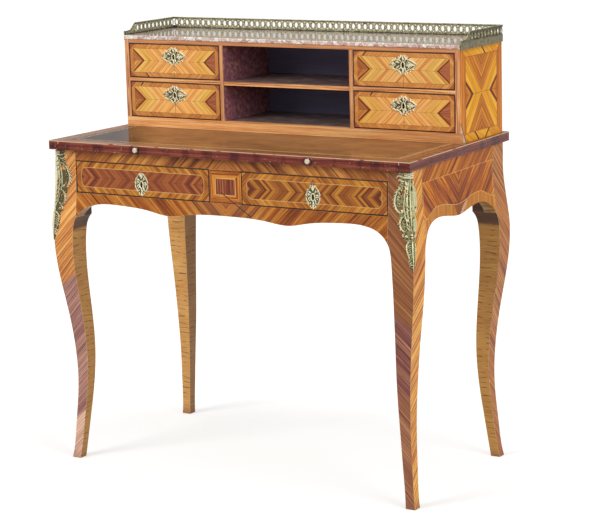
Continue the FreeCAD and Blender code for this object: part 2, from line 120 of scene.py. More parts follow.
def calc(operation, *values):
    """The result of a Math node, on the material of the first Field among the values."""
    surface = next(v.surface for v in values if isinstance(v, Field))
    return surface.put("ShaderNodeMath", enumerate(values), operation=operation)


def least(*values):
    """The lowest of the values, of which the first is a Field."""
    result = values[0]
    for value in values[1:]:
        result = calc("MINIMUM", result, value)
    return result


def most(*values):
    """The highest of the values, of which the first is a Field."""
    result = values[0]
    for value in values[1:]:
        result = calc("MAXIMUM", result, value)
    return result


def above(value, limit):
    """1 where value is over limit, else 0."""
    return calc("GREATER_THAN", value, limit)


def near(value, middle, reach):
    """1 within reach of middle, else 0."""
    return above(reach, abs(value - middle))


def choose(mask, yes, no):
    """yes where mask is 1 and no where it is 0."""
    return calc("MULTIPLY_ADD", mask, yes - no, no)


def rise(value, low, high):
    """0 below low, 1 above high, smooth between."""
    inputs = ((0, value), (1, low), (2, high))
    return value.surface.put("ShaderNodeMapRange", inputs, interpolation_type="SMOOTHSTEP")


def turned(u, v, degrees):
    """Coordinates along and across lines that rise by that angle from u towards v."""
    c = math.cos(math.radians(degrees))
    s = math.sin(math.radians(degrees))
    return u * c + v * s, v * c - u * s


class Surface:
    """A material in the making, with the place in millimetres and the facing of each point."""

    def __init__(self, name):
        self.material = bpy.data.materials.new(name)
        self.tree = empty_tree(self.material)
        place = add_node(self.tree, "ShaderNodeTexCoord")
        self.x, self.y, self.z = self.split(place.outputs["Object"], 1 / MM)
        self.nx, self.ny, self.nz = self.split(place.outputs["Normal"], 1)

    def split(self, vector, scale):
        """The three parts of a vector, times scale."""
        inputs = ((0, vector), ("Scale", scale))
        grown = add_node(self.tree, "ShaderNodeVectorMath", inputs, operation="SCALE")
        parts = add_node(self.tree, "ShaderNodeSeparateXYZ", ((0, grown.outputs[0]),))
        return [Field(self, socket) for socket in parts.outputs]

    def put(self, kind, inputs=(), output=0, **settings):
        """Adds a node; inputs are pairs of a socket's key and a Field, number or colour."""
        sources = [(key, getattr(value, "socket", value)) for key, value in inputs]
        return Field(self, add_node(self.tree, kind, sources, **settings).outputs[output])

    def noise(self, a, b, c=0, detail=2, rough=0.5):
        """Smooth noise from 0 to 1 that changes over about one unit of each coordinate."""
        place = self.put("ShaderNodeCombineXYZ", enumerate((a, b, c)))
        return self.put("ShaderNodeTexNoise", (("Vector", place), ("Scale", 1), ("Detail", detail),
                                               ("Roughness", rough)))

    def cloud(self, scale, detail, rough=0.5):
        """Smooth noise from 0 to 1 over the place on the piece."""
        return self.noise(self.x * scale, self.y * scale, self.z * scale, detail, rough)

    def chance(self, a, b):
        """A random number from 0 to 1 for each pair of whole numbers."""
        place = self.put("ShaderNodeCombineXYZ", enumerate((a, b, 0)))
        return self.put("ShaderNodeTexWhiteNoise", (("Vector", place),), noise_dimensions="2D")

    def mix(self, share, first, second):
        """A colour: first where share is 0, second where it is 1."""
        inputs = ((0, share), (6, first), (7, second))
        return self.put("ShaderNodeMix", inputs, 2, data_type="RGBA", clamp_factor=True)

    def shade(self, tone, colours):
        """The colour at tone, 0 to 1, on an even ramp of colours."""
        last = len(colours) - 1
        result = colours[0]
        for i, colour in enumerate(colours[1:]):
            result = self.mix(tone * last - i, result, colour)
        return result

    def facing(self, axis, sign):
        """1 on faces that look along the axis, else 0."""
        direction = {"x": self.nx, "y": self.ny, "z": self.nz}[axis]
        return above(direction * sign, 0.7)

    def wear(self, radius):
        """0 on open faces, towards 1 within about radius of an edge."""
        soft = self.put("ShaderNodeBevel", (("Radius", radius * MM),), samples=4)
        plain = self.put("ShaderNodeNewGeometry", output="Normal")
        agree = self.put("ShaderNodeVectorMath", ((0, soft), (1, plain)), "Value", operation="DOT_PRODUCT")
        return rise(1 - agree, 0.01, 0.12)

    def finish(self, colour, roughness, height, depth, metallic=0, coat=0, coat_rough=0.1, specular=0.5):
        """Ends the material with a Principled shader. Its relief is height times depth, in millimetres."""
        bump = self.put("ShaderNodeBump", (("Height", height), ("Strength", 0.7), ("Distance", depth * MM)))
        shader = self.put("ShaderNodeBsdfPrincipled", (
            ("Base Color", colour), ("Roughness", roughness), ("Metallic", metallic), ("Coat Weight", coat),
            ("Coat Roughness", coat_rough), ("Specular IOR Level", specular), ("Normal", bump)))
        add_node(self.tree, "ShaderNodeOutputMaterial", (("Surface", shader.socket),))
        return self.material


# ---- Woods ----

# Each palette runs from the palest to the darkest tone of its wood.
ORANGE = (rgb(232, 170, 92), rgb(206, 134, 66), rgb(168, 94, 48), rgb(118, 58, 36))
AMBER = (rgb(255, 206, 108), rgb(240, 164, 68), rgb(188, 102, 42), rgb(120, 54, 28))
RUSSET = (rgb(214, 148, 78), rgb(190, 118, 58), rgb(152, 82, 42), rgb(106, 52, 32))
BROWN = (rgb(190, 134, 98), rgb(160, 105, 78), rgb(133, 82, 62), rgb(98, 56, 46))
UMBER = (rgb(170, 112, 68), rgb(152, 98, 62), rgb(134, 82, 52), rgb(106, 60, 42))
PLUM = (rgb(184, 124, 102), rgb(146, 92, 80), rgb(118, 68, 64), rgb(88, 48, 50))
MAUVE = (rgb(206, 158, 141), rgb(174, 126, 114), rgb(145, 97, 93), rgb(112, 73, 76))
TAN = (rgb(255, 216, 192), rgb(238, 192, 168), rgb(204, 157, 135), rgb(158, 113, 97))
APRICOT = (rgb(250, 190, 112), rgb(226, 154, 84), rgb(186, 112, 62), rgb(132, 70, 45))
OCHRE = (rgb(206, 158, 90), rgb(184, 132, 72), rgb(152, 104, 60))
PALE_OCHRE = (rgb(240, 188, 116), rgb(216, 158, 92), rgb(184, 126, 68))
OAK = (rgb(198, 158, 110), rgb(168, 126, 82), rgb(128, 90, 58))
GOLD = (rgb(255, 218, 132), rgb(248, 198, 100), rgb(228, 166, 80), rgb(182, 116, 60))
LINE = rgb(230, 186, 118)
CRACK = rgb(56, 38, 34)
RIM = rgb(122, 58, 36)
# Painted shade in the keyholes.
KEYHOLE_SHADE = rgb(14, 10, 9)
WORN = rgb(222, 172, 116)


class Grain:
    """Straight-grained veneer in strips: tone is 0 where palest and 1 where darkest. Its tone differs
    from strip to strip, in broad and fine lines along the grain, and in a few dark streaks."""

    def __init__(self, s, along, across, seed, strip, contrast):
        sway = 6
        middle_tone = 0.42
        line = across + s.noise(along * 0.006, across * 0.01, seed, 1) * sway
        number = calc("FLOOR", line / strip)
        within = calc("FRACT", line / strip)
        sheet = s.chance(number, seed)
        kind = s.chance(number, seed + 5)
        broad = s.noise(line / strip, along * 0.004, seed + 3, 1)
        fine = s.noise(line * 0.42, along * 0.008, seed + 7, 2, 0.7)
        streak = rise(s.noise(line * 0.3, along * 0.006, seed + 9, 2, 0.6), 0.57, 0.65)
        self.fibre = s.noise(line * 2.2, along * 0.07, seed + 11, 1)
        tone = (sheet - 0.5) * 0.4 + (broad - 0.5) * 1.2 + (fine - 0.5) * 1.9 + (self.fibre - 0.5) * 0.6
        self.tone = (tone + streak * 0.3) * contrast + middle_tone
        joint_at = 0.08
        self.joint = near(within, joint_at, 0.5 / strip)
        self.seam = self.joint * above(kind, 0.4)
        self.string = near(within, joint_at, 0.6 / strip) * above(0.25, kind)
        self.s = s

    def veneer(self, colours, lines=1):
        """Coloured strips with dark seams between some and pale lines between others."""
        colour = self.s.shade(self.tone, colours)
        colour = self.s.mix(self.seam * (0.5 * lines), colour, CRACK)
        return self.s.mix(self.string * (0.38 * lines), colour, LINE)

    def finish(self, colour, wear_colour=None, rough=0.19, seams=0, polish=0.12):
        """Polished finish with pores, fine joints between strips and, optionally, worn edges."""
        s = self.s
        wear_reach = 1.4
        pore_depth = 0.12
        patches = s.cloud(0.02, 3)
        roughness = patches * 0.22 + self.fibre * 0.12 + rough
        if wear_colour is not None:
            worn = s.wear(wear_reach) * rise(patches, 0.3, 0.5)
            colour = s.mix(worn * 0.7, colour, wear_colour)
            roughness = roughness + worn * 0.15
        height = self.fibre * 0.5 - self.joint * 0.7 - seams
        coat = polish * 0.3
        return s.finish(colour, roughness, height, pore_depth, coat=coat, specular=0.08 + polish * 0.7)


def plain_wood(name, colours, axis, contrast, strip, seed, rough):
    """Solid wood or long-grain veneer, with the grain along one axis."""
    s = Surface(name)
    others = {"x": (s.y, s.z), "y": (s.x, s.z), "z": (s.x, s.y)}[axis]
    along = {"x": s.x, "y": s.y, "z": s.z}[axis]
    grain = Grain(s, along, others[0] + others[1] * 1.3, seed, strip, contrast)
    return grain.finish(grain.veneer(colours, 0.4), rough=rough)


def oak(name, seed):
    """Plain oak of the hidden parts, with its grain from front to back."""
    return plain_wood(name, OAK, "y", 0.7, 12, seed, 0.43)


def plinth_wood():
    """Long-grained rail below the small drawers, paler at the left."""
    s = Surface("case_plinth")
    grain = Grain(s, s.x, s.z * 1.3 + s.y, 57, 8, 0.8)
    colours = (rgb(255, 226, 160), rgb(255, 196, 128), rgb(232, 156, 96), rgb(178, 110, 70))
    shade = rise(s.x, -420, 420) * 0.38
    return grain.finish(s.mix(shade, grain.veneer(colours, 0.4), rgb(120, 74, 44)))


def backed(s, front, colour):
    """colour where front is 1, and bare oak elsewhere."""
    tone = s.noise(s.x * 0.03, s.y * 0.4, s.z * 0.4, 3)
    return s.mix(front, s.shade(rise(tone, 0.3, 0.7), OAK), colour)


def drawer_face(s, drawer, colour, edge):
    """A drawer front's veneer on bare oak, with a painted shadow of the gap round it and painted shade in the
    keyhole.
    """
    # Painted shadow of the gap round the drawer, wider than the real gap.
    shadow_gap_width = 2.1
    colour = s.mix(near(edge, 0, shadow_gap_width) * 0.95, colour, rgb(34, 24, 24))
    colour = backed(s, s.facing("y", -1), colour)
    middle = span(f"{drawer}_escutcheon")[0]
    half_width = 4.5
    half_height = 10
    drop = 3
    # Painted shade in the keyhole.
    keyhole = above(half_width, abs(s.x - middle.x)) * above(half_height, abs(s.z - middle.z + drop))
    return s.mix(keyhole, colour, KEYHOLE_SHADE)


def crossed(s, inside, u, v, seed, strip, contrast):
    """Grain at 45 degrees that is mirrored at both middle lines, and turned in the border."""
    long, cross = turned(u, v, 45)
    return Grain(s, choose(inside, long, cross), choose(inside, cross, long), seed, strip, contrast)


# Chevrons of the frieze drawers: seed, seed and share of their waves, shift in tone, colours.
CHEVRONS = {
    "left": (5, 7, 0.3, 0.02, (rgb(184, 112, 60), rgb(150, 82, 46), rgb(122, 60, 38), rgb(90, 42, 32))),
    "right": (3, 2, 0.55, -0.1, (rgb(200, 138, 54), rgb(162, 98, 40), rgb(116, 58, 32), rgb(82, 38, 26))),
}


def frieze_front(side):
    """Kingwood chevrons in a panel with canted corners, crossbanded, with a light string between."""
    s = Surface(f"kingwood_chevrons_{side}")
    seed, wave_seed, wave_share, shift, colours = CHEVRONS[side]
    middle, half = span(f"frieze_drawer_{side}_front")
    border = 14
    cant = 8
    u = abs(s.x - middle.x)
    v = abs(s.z - middle.z)
    edge = least(half.x - u, half.z - v)
    corner = (half.x + half.z - 2 * border - cant - u - v) * math.sqrt(0.5)
    panel = least(edge - border, corner)
    inside = above(panel, 0)
    grain = crossed(s, inside, u, v, seed, 8, 0.9)
    wave = rise(s.noise(turned(u, v, 45)[1] / 10, wave_seed, 0, 0), 0.43, 0.57)
    field = s.shade(grain.tone * 0.6 + wave * wave_share + shift, colours)
    field = s.mix(grain.seam * 0.4, field, RIM)
    band = grain.veneer((rgb(222, 156, 68), rgb(190, 122, 48), rgb(152, 84, 36), rgb(104, 52, 28)), 0.7)
    colour = s.mix(near(panel, 0, 0.7) * 0.6, s.mix(inside, band, field), LINE)
    mitre = near(half.x - u - (half.z - v), 0, 0.4) * above(border, edge)
    crack = most(mitre, near(v, 0, 0.35) * inside)
    colour = s.mix(crack * 0.6, colour, CRACK)
    return grain.finish(drawer_face(s, f"frieze_drawer_{side}", colour, edge), seams=crack)


def end_triangle(s, grain, run, lift, base, seed):
    """Distance inside the triangle at each end of a small drawer's field, and its wood: rays on the
    right, and plain veneer with a browner upper half on the left."""
    depth = 31
    half_height = 27
    rim = 4.6
    u = abs(run)
    v = abs(lift)
    distance = (u - (base - depth)) * (half_height / depth) - v
    rays = s.noise(v * 14 / (u - (base - depth - 4)), seed, 0, 2)
    dark = s.shade(rise(rays, 0.35, 0.65), (rgb(202, 130, 86), rgb(168, 96, 64), rgb(126, 66, 48)))
    light = s.mix(above(lift, 0) * 0.6, grain.veneer(ORANGE), rgb(150, 84, 52))
    return distance, s.mix(above(rim, distance), s.mix(above(run, 0), light, dark), RIM)


def case_front(drawer, seed, darkening, dash):
    """Golden tulipwood on a small drawer: book-matched bands that meet in an X, with a dark-edged
    triangle at each end. dash is the place and lean of a filled crack in the border."""
    s = Surface(f"tulipwood_{drawer}_front")
    middle, half = span(f"{drawer}_front")
    border = 11.5
    run = s.x - middle.x
    lift = s.z - middle.z
    u = abs(run)
    v = abs(lift)
    edge = least(half.x - u, half.z - v)
    inside = above(edge, border)
    grain = crossed(s, inside, u, v, seed, 8.5, 0.74)
    orange = grain.veneer((rgb(255, 224, 144), rgb(255, 191, 109), rgb(234, 156, 82), rgb(178, 104, 59)), 1.1)
    field = s.mix(rise(u - v, 40, 60), orange, grain.veneer(GOLD, 0.5))
    field = s.mix(darkening, field, rgb(120, 62, 8))
    triangle, fill = end_triangle(s, grain, run, lift, half.x - border, seed)
    field = s.mix(above(triangle, 0), field, fill)
    band = s.mix(0.35, grain.veneer(ORANGE, 0.6), rgb(226, 158, 88))
    corner = above(17, (half.x - u) + (half.z - v))
    band = s.mix(corner * 0.8, band, rgb(148, 80, 52))
    colour = s.mix(inside, band, field)
    along, across = turned(run - dash[0], lift - dash[1], dash[2])
    filled = near(along, 0, 6.5) * near(across, 0, 1.4)
    centre = near(v, 0, 0.3) * inside
    split = near(u, 0, 0.45) * above(-8, lift)
    crack = most(near(edge, border, 0.4) * 0.6, centre * 0.6, split * 0.9, filled)
    colour = s.mix(crack, colour, rgb(84, 44, 32))
    return grain.finish(drawer_face(s, drawer, colour, edge), seams=crack, rough=0.17)


def hourglass(s, grain, u, v, lift):
    """Dark triangles above and below that meet in the middle, yellow fields beside them, and a dark
    chevron at mid height on each side."""
    wedge = above(v * choose(above(lift, 0), 0.95, 0.78), u)
    dark = grain.veneer((rgb(230, 152, 50), rgb(204, 122, 36), rgb(164, 84, 26), rgb(120, 56, 20)))
    field = s.mix(wedge, yellow_veneer(grain), dark)
    chevron_tip = 38
    chevron = u - chevron_tip - v * 1.15
    amber = grain.veneer((rgb(244, 166, 54), rgb(220, 134, 38), rgb(182, 98, 30), rgb(132, 64, 22)))
    field = s.mix(above(chevron, 0), field, amber)
    return s.mix(near(chevron, 5, 5.5), field, rgb(110, 50, 30))


def yellow_veneer(grain):
    """The palest veneer of the case's sides."""
    return grain.veneer((rgb(252, 194, 66), rgb(240, 170, 46), rgb(216, 140, 36), rgb(174, 98, 28)), 0.5)


def worn_foot(s, colour, from_front, from_foot):
    """The chipped and faded lower front corner of the case's side."""
    reach = 62
    worn = 24 - from_foot * 0.55 - from_front
    patch = s.noise(s.y * 0.25, s.z * 0.25, 4, 3)
    low_down = above(reach, from_foot)
    scuff = above(worn, 0) * low_down * rise(patch, 0.25, 0.45)
    colour = s.mix(scuff * 0.85, colour, rgb(214, 200, 180))
    return s.mix(near(worn, 0, 1.6) * low_down * 0.8, colour, CRACK)


def case_side(side):
    """End of the upper case: an hourglass of matched veneer in a banded frame."""
    sign = 1 if side == "right" else -1
    s = Surface(f"tulipwood_hourglass_{side}")
    node = f"upper_side_{side}"
    low, high = extent(node)
    middle, half = span(node)
    border = 19
    side_border = 26
    run = s.y - middle.y
    lift = s.z - middle.z
    u = abs(run)
    v = abs(lift)
    from_side = half.y - u - side_border
    from_end = half.z - v - border
    edge = least(from_side, from_end)
    inside = above(edge, 0)
    upright = above(from_end, from_side)
    along, across = turned(u, v, 50)
    grain = Grain(s, choose(inside, along, choose(upright, s.z, run)),
                  choose(inside, across, choose(upright, run, lift + run * 0.6)), 21, 11, 0.72)
    uprights = grain.veneer((rgb(234, 158, 62), rgb(210, 124, 44), rgb(176, 92, 32), rgb(128, 60, 24)))
    frame_wood = s.mix(upright, yellow_veneer(grain), uprights)
    colour = s.mix(inside, frame_wood, hourglass(s, grain, u, v, lift))
    upper_joint = near(run + lift - 100, 0, 3)
    lower_joints = most(near(run + lift + 115, 0, 3), near(run - lift - 117, 0, 3))
    in_frame = above(0, from_end) * above(from_side, -4)
    joints = choose(above(lift, 0), upper_joint, lower_joints) * in_frame
    middle_joint = near(v, 0, 0.6) * 0.6 * above(from_side, -2)
    crack = most(near(edge, 0, 0.6) * 0.6, joints, middle_joint)
    colour = worn_foot(s, s.mix(crack, colour, rgb(88, 42, 26)), s.y - low.y, s.z - low.z)
    # Painted shade that deepens towards the top edge, under the top above it.
    colour = s.mix(rise(s.z, high.z - 12, high.z - 2) * 0.4, colour, rgb(96, 50, 26))
    edge_tone = rise(s.noise(s.x * 0.5, s.y * 0.5, s.z * 0.02, 3), 0.3, 0.7)
    edge_grain = s.shade(edge_tone, (rgb(242, 182, 130), rgb(208, 142, 96), rgb(158, 98, 68)))
    outer = s.facing("x", sign)
    return grain.finish(s.mix(outer, edge_grain, colour), seams=crack * outer, polish=0)


def block_crack(s):
    """The split that leans down to the right from the centre block into the apron."""
    lean = 0.65
    half_width = 1.2
    height_at_middle = 635
    left_end = -11
    return near(s.x * lean + s.z, height_at_middle, half_width) * above(s.x, left_end)


def matched_strips(name, colours, seed, mirror):
    """Strips at 45 degrees on a front, matched at its middle. mirror is 1 where they rise towards the
    middle and -1 where they rise towards the ends."""
    s = Surface(name)
    along, across = turned(abs(s.x), s.z, -45 * mirror)
    grain = Grain(s, along, across, seed, 9, 0.95)
    return s, grain, grain.veneer(colours, 0.8), above(s.ny * -1, 0.3)


def top_rail():
    """Rail over the frieze drawers."""
    colours = (rgb(214, 146, 72), rgb(174, 106, 50), rgb(130, 72, 38), rgb(88, 44, 28))
    s, grain, colour, front = matched_strips("tulipwood_top_rail", colours, 11, 1)
    return grain.finish(backed(s, front, colour), wear_colour=WORN)


def front_apron():
    """Front apron: a little paler at its middle, darker to the right, and split under the block."""
    colours = (rgb(210, 140, 56), rgb(172, 98, 38), rgb(132, 64, 28), rgb(90, 42, 24))
    s, grain, colour, front = matched_strips("tulipwood_front_apron", colours, 13, -1)
    split_foot = 594
    split = block_crack(s) * above(s.z, split_foot)
    colour = s.mix(rise(s.x, 40, 260) * 0.16, colour, rgb(84, 36, 20))
    colour = s.mix(rise(abs(s.x), 130, 40) * 0.07, colour, rgb(240, 196, 130))
    colour = s.mix(split, colour, CRACK)
    return grain.finish(backed(s, front, colour), wear_colour=WORN, seams=split)


def side_apron(side):
    """Side apron: a crossband below the top, V-matched strips under it, and a crossband that follows
    the shaped lower edge."""
    sign = 1 if side == "right" else -1
    s = Surface(f"tulipwood_side_apron_{side}")
    high = extent(f"side_apron_{side}")[1]
    middle, half = span(f"side_apron_{side}")
    top_band = 33
    low_band = 24
    run = s.y - middle.y
    u = abs(run)
    drop = high.z - s.z
    # The lower edge: an arch each side of a soft cusp, and a bracket that steps down to the leg.
    share = u / half.y
    arch = 588 + rise(share, 0, 0.5) * 11 - rise(share, 0.6, 1) * 20
    height = s.z - arch
    below = above(low_band, height)
    upper = above(top_band, drop)
    under_band = 1 - upper
    field = (1 - below) * under_band
    along_v, across_v = turned(u, s.z, 44)
    along_d, across_d = turned(run, s.z, 40)
    along = choose(field, along_v, choose(upper, along_d, height))
    across = choose(field, across_v, choose(upper, across_d, u))
    grain = Grain(s, along, across, 31, 9, 1.15)
    strips = grain.veneer((rgb(232, 146, 44), rgb(190, 104, 28), rgb(148, 68, 22), rgb(100, 42, 18)))
    bands = grain.veneer((rgb(218, 138, 46), rgb(186, 104, 32), rgb(150, 74, 26), rgb(106, 48, 22)))
    colour = s.mix(below * 0.3, s.mix(field, bands, strips), rgb(226, 160, 74))
    wedge = above(10 + (s.z - 590) * 0.7, abs(run - 2)) * above(618, s.z)
    colour = s.mix(wedge * 0.7, colour, rgb(124, 56, 30))
    dashes = above(calc("FRACT", s.y / 5), 0.3)
    string = most(near(drop, top_band, 0.7) * dashes, near(height, low_band, 0.7) * under_band,
                  near(u, half.y - 4, 0.8) * under_band * above(height, 0))
    colour = s.mix(string * 0.75, colour, LINE)
    repair = near(run - 27 - (height - 12) * 1.2, 0, 9) * near(height, 10, 9)
    repair = repair * rise(s.noise(s.y * 0.3, s.z * 0.3, 2, 2), 0.35, 0.5)
    colour = s.mix(repair * 0.8, colour, rgb(214, 182, 156))
    joint = near(run, 0, 0.5) * under_band
    colour = backed(s, above(s.nx * sign, 0.3), s.mix(joint * 0.8, colour, CRACK))
    return grain.finish(colour, wear_colour=WORN, seams=joint, polish=0)


def inner_face(s, h, seed, colours, shade):
    """Cross-grained inner face of a leg, with fine checks across the grain and painted shade at its head."""
    check_pitch = 13
    head = 534
    wander = s.noise(h * 0.01, s.z * 0.02, seed, 2)
    check_at = calc("FRACT", s.z / check_pitch + wander * 2.4)
    checks = near(check_at, 0.5, 0.055) * rise(s.noise(h * 0.06, s.z * 0.02, seed + 5, 1), 0.44, 0.54)
    fine = s.noise(s.z * 0.5, h * 0.02, seed + 2, 2)
    colour = s.shade(wander * 0.7 + (fine - 0.5) * 1.5 + 0.1, colours)
    colour = s.mix(checks * 0.75, colour, rgb(72, 46, 32))
    # Painted shade over the face.
    colour = s.mix(shade, colour, rgb(86, 50, 34))
    # Painted shade under the bracket, at the head of the inner face.
    return s.mix(rise(s.z + fine * 8, head, head + 10) * 0.85, colour, rgb(64, 44, 44)), wander


def leg_wood(node, seed, angle, bands, side_face, inner, inner_shade):
    """A leg: strips that rise at an angle towards the middle of each outer face, and cross-grained
    inner faces. bands are pairs of a height and the colours of the front or back face below it.
    inner_shade is painted shade on the inner face that looks along X."""
    s = Surface(f"tulipwood_{node}")
    low, high = extent(node)
    side = 1 if high.x > 0 else -1
    end = 1 if high.y > 0 else -1
    on_x = above(abs(s.nx), abs(s.ny))
    out = above(choose(on_x, s.nx * side, s.ny * end), 0)
    h = choose(on_x, s.y * end, s.x * side)
    along, across = turned(h, s.z, 180 - angle)
    grain = Grain(s, choose(out, along, h), choose(out, across, s.z), seed, 6, 0.8)
    slope = math.tan(math.radians(angle))
    outermost = max(abs(low.x), abs(high.x))
    face = grain.veneer(bands[0][1])
    for level, colours in bands[1:]:
        under = above(level, s.z + (h - outermost + 30) * slope * 0.8)
        face = s.mix(under, face, grain.veneer(colours))
    outer = s.mix(on_x, face, grain.veneer(side_face, 1.3))
    inside, wander = inner_face(s, h, seed, inner, on_x * inner_shade)
    colour = s.mix(out, inside, outer)
    foot_height = 46
    foot = rise(s.z + wander * 30, foot_height, 10)
    colour = s.mix(foot * 0.55, colour, rgb(132, 92, 76))
    return grain.finish(colour, wear_colour=rgb(246, 214, 170))


def centre_block():
    """Between the frieze drawers: a purple-brown rectangle of upright grain in a mitred frame."""
    s = Surface("kingwood_centre_block")
    middle = span("front_centre_stile")[0]
    u = abs(s.x - middle.x)
    v = abs(s.z - middle.z)
    half_width = 23.5
    half_height = 16.5
    # Where the upright and level pieces of the frame meet.
    mitre_at = half_width - half_height
    panel = least(half_width - u, half_height - v)
    inside = above(panel, 0)
    upright = most(inside, above(u - v, mitre_at))
    grain = Grain(s, choose(upright, s.z, s.x), choose(upright, s.x, s.z), 41, 3.4, 1.2)
    frame_wood = grain.veneer((rgb(226, 152, 62), rgb(200, 120, 46), rgb(166, 86, 34), rgb(120, 58, 28)), 0.6)
    panel_wood = grain.veneer((rgb(180, 106, 66), rgb(146, 74, 48), rgb(108, 50, 36), rgb(76, 36, 30)), 0.8)
    colour = s.mix(near(panel, -1.6, 0.8) * 0.8, s.mix(inside, frame_wood, panel_wood), LINE)
    mitre = near(u - v, mitre_at, 0.4) * (1 - inside)
    dashes = near(v, 34, 1) * above(s.noise(s.x * 0.25, 1), 0.42)
    crack = most(mitre * 0.5, dashes * 0.9, block_crack(s))
    return grain.finish(backed(s, s.facing("y", -1), s.mix(crack, colour, CRACK)), seams=crack)


def table_edge(name, seed):
    """Table top: purple-brown square edge with a patchy pale line along its top, and orange-tan top surface.
    """
    s = Surface(name)
    rim_height = 733.2
    joint_head = 728
    joint_x = 430.2
    top = s.facing("z", 1)
    edge = 1 - top
    side = above(abs(s.nx), abs(s.ny))
    along = choose(side, s.y, s.x)
    across = choose(side, s.x, s.y)
    grain = Grain(s, along, choose(top, across, s.z * 1.6), seed, 9, 0.9)
    blot = rise(s.noise(along * 0.02, across * 0.05, seed, 3), 0.48, 0.6)
    dark = s.shade(grain.tone + blot * 0.4 - 0.15,
                   (rgb(144, 76, 56), rgb(110, 50, 40), rgb(86, 36, 34), rgb(60, 26, 28)))
    tan = grain.veneer((rgb(192, 130, 82), rgb(160, 98, 60), rgb(128, 74, 46), rgb(90, 48, 34)), 0.7)
    patches = s.noise(s.x * 0.05, s.y * 0.05, s.z * 0.1, 3)
    rim = above(s.z, rim_height) * edge * rise(patches, 0.3, 0.42)
    colour = s.mix(rim * 0.85, s.mix(top, dark, tan), rgb(222, 194, 164))
    joint = near(abs(s.x), joint_x, 0.9) * edge
    joint_colour = s.mix(above(s.z, joint_head), rgb(48, 24, 24), rgb(226, 206, 190))
    colour = s.mix(joint * 0.7, colour, joint_colour)
    specks = rise(s.cloud(0.22, 2), 0.66, 0.72) * edge
    colour = s.mix(specks * 0.5, colour, rgb(196, 160, 140))
    return grain.finish(colour, rough=0.17, polish=0.1)


def case_rail(name, seed):
    """Straight-grained front edges of the upper case, greyer and mottled inside the compartments."""
    s = Surface(name)
    grain = Grain(s, s.x, s.z + s.y * 0.3, seed, 5, 0.9)
    light = grain.veneer((rgb(255, 206, 142), rgb(240, 170, 108), rgb(190, 122, 78), rgb(126, 76, 54)), 0.6)
    inside_mottle = s.noise(s.x * 0.03, s.y * 0.05, s.z * 0.05, 4)
    dark = s.mix(rise(inside_mottle, 0.4, 0.8), rgb(112, 94, 94), rgb(158, 140, 128))
    return grain.finish(s.mix(s.facing("y", -1), dark, light))


def case_upright(name, seed):
    """Partition: orange-brown front edge, mottled red-brown faces."""
    s = Surface(name)
    grain = Grain(s, s.z, s.x + s.y, seed, 5, 0.9)
    light = grain.veneer((rgb(252, 198, 146), rgb(222, 158, 108), rgb(172, 112, 76), rgb(120, 72, 52)), 0.6)
    mottle = s.noise(s.y * 0.08, s.z * 0.08, 2, 5, 0.75)
    dark = s.shade(rise(mottle, 0.35, 0.68), (rgb(108, 78, 98), rgb(150, 96, 104), rgb(196, 136, 122)))
    return grain.finish(s.mix(s.facing("y", -1), dark, light), rough=0.25)


def case_back():
    """Back of the upper case: blue-grey stain inside, bare oak outside."""
    s = Surface("stained_back")
    grain = Grain(s, s.x, s.z, 61, 40, 0.5)
    inner = s.shade(grain.tone, (rgb(112, 108, 136), rgb(98, 94, 120), rgb(82, 78, 102)))
    return grain.finish(s.mix(s.facing("y", -1), s.shade(grain.tone, OAK), inner), rough=0.33)


# ---- Leather, marble and metal ----

def leather():
    """Dark glazed leather with a gilt tooled border and fine wrinkles, darker at its left corner."""
    s = Surface("tooled_leather")
    middle, half = span("slide_leather")
    edge = least(half.x - abs(s.x - middle.x), half.y - abs(s.y - middle.y))
    place = s.put("ShaderNodeCombineXYZ", enumerate((s.x, s.y, 0)))
    pebble = s.put("ShaderNodeTexVoronoi", (("Vector", place), ("Scale", 0.9)), feature="DISTANCE_TO_EDGE")
    stain = s.noise(s.x * 0.012, s.y * 0.02, 0, 4, 0.6)
    streak = s.noise(s.x * 0.01, s.y * 0.12, 5, 3)
    tone = rise(stain * 0.6 + streak * 0.4, 0.3, 0.7)
    # The paler brown stands partly for the warm reflection of the case.
    colour = s.shade(tone, (rgb(136, 92, 64), rgb(156, 108, 68), rgb(176, 124, 78)))
    # Painted reflection of the dark surroundings at the left corner.
    painted_reflection = rise(s.x + s.y * 0.727 + stain * 20, -440, -310)
    colour = s.mix(painted_reflection, rgb(70, 47, 35), colour)
    lozenges = near(calc("FRACT", (s.x + s.y) / 7), 0.5, 0.28)
    tooling = most(near(edge, 7, 1.3), near(edge, 11, 0.5), near(edge, 14.5, 1.6) * lozenges)
    rubbed = rise(s.noise(s.x * 0.2, s.y * 0.2, 3, 2), 0.34, 0.5)
    colour = s.mix(tooling * rubbed * 0.8, colour, rgb(226, 196, 140))
    height = rise(pebble, 0, 0.25) * 0.4 - tooling * 0.8 + streak * 0.6
    return s.finish(colour, stain * 0.1 + 0.12, height, 0.02, specular=0.01)


def marble():
    """Polished breccia: pale pink and white with small red-brown patches and fine veins."""
    s = Surface("breccia_marble")
    warp = s.cloud(0.02, 3)
    place = s.put("ShaderNodeCombineXYZ", enumerate((s.x * 0.11 + warp * 2.4, s.y * 0.09 + warp, s.z * 0.12)))
    at = (("Vector", place), ("Scale", 1))
    cells = s.put("ShaderNodeTexVoronoi", at, output=1)
    pick = s.put("ShaderNodeSeparateColor", ((0, cells),))
    vein = s.put("ShaderNodeTexVoronoi", at, feature="DISTANCE_TO_EDGE")
    cloud = s.cloud(0.1, 4)
    tone = pick * 0.8 + (cloud - 0.5) * 0.6 + 0.06
    colour = s.shade(tone, (rgb(244, 240, 234), rgb(232, 220, 212), rgb(212, 182, 170), rgb(158, 104, 90)))
    colour = s.mix(rise(vein, 0.06, 0.01) * 0.7, colour, rgb(134, 84, 76))
    # Painted reflection: the top face greyed, as if mirroring what stands over it.
    colour = s.mix(s.facing("z", 1) * 0.35, colour, rgb(150, 140, 126))
    return s.finish(colour, cloud * 0.1 + 0.04, cloud, 0.01, coat=0.25, coat_rough=0.02, specular=0.2)


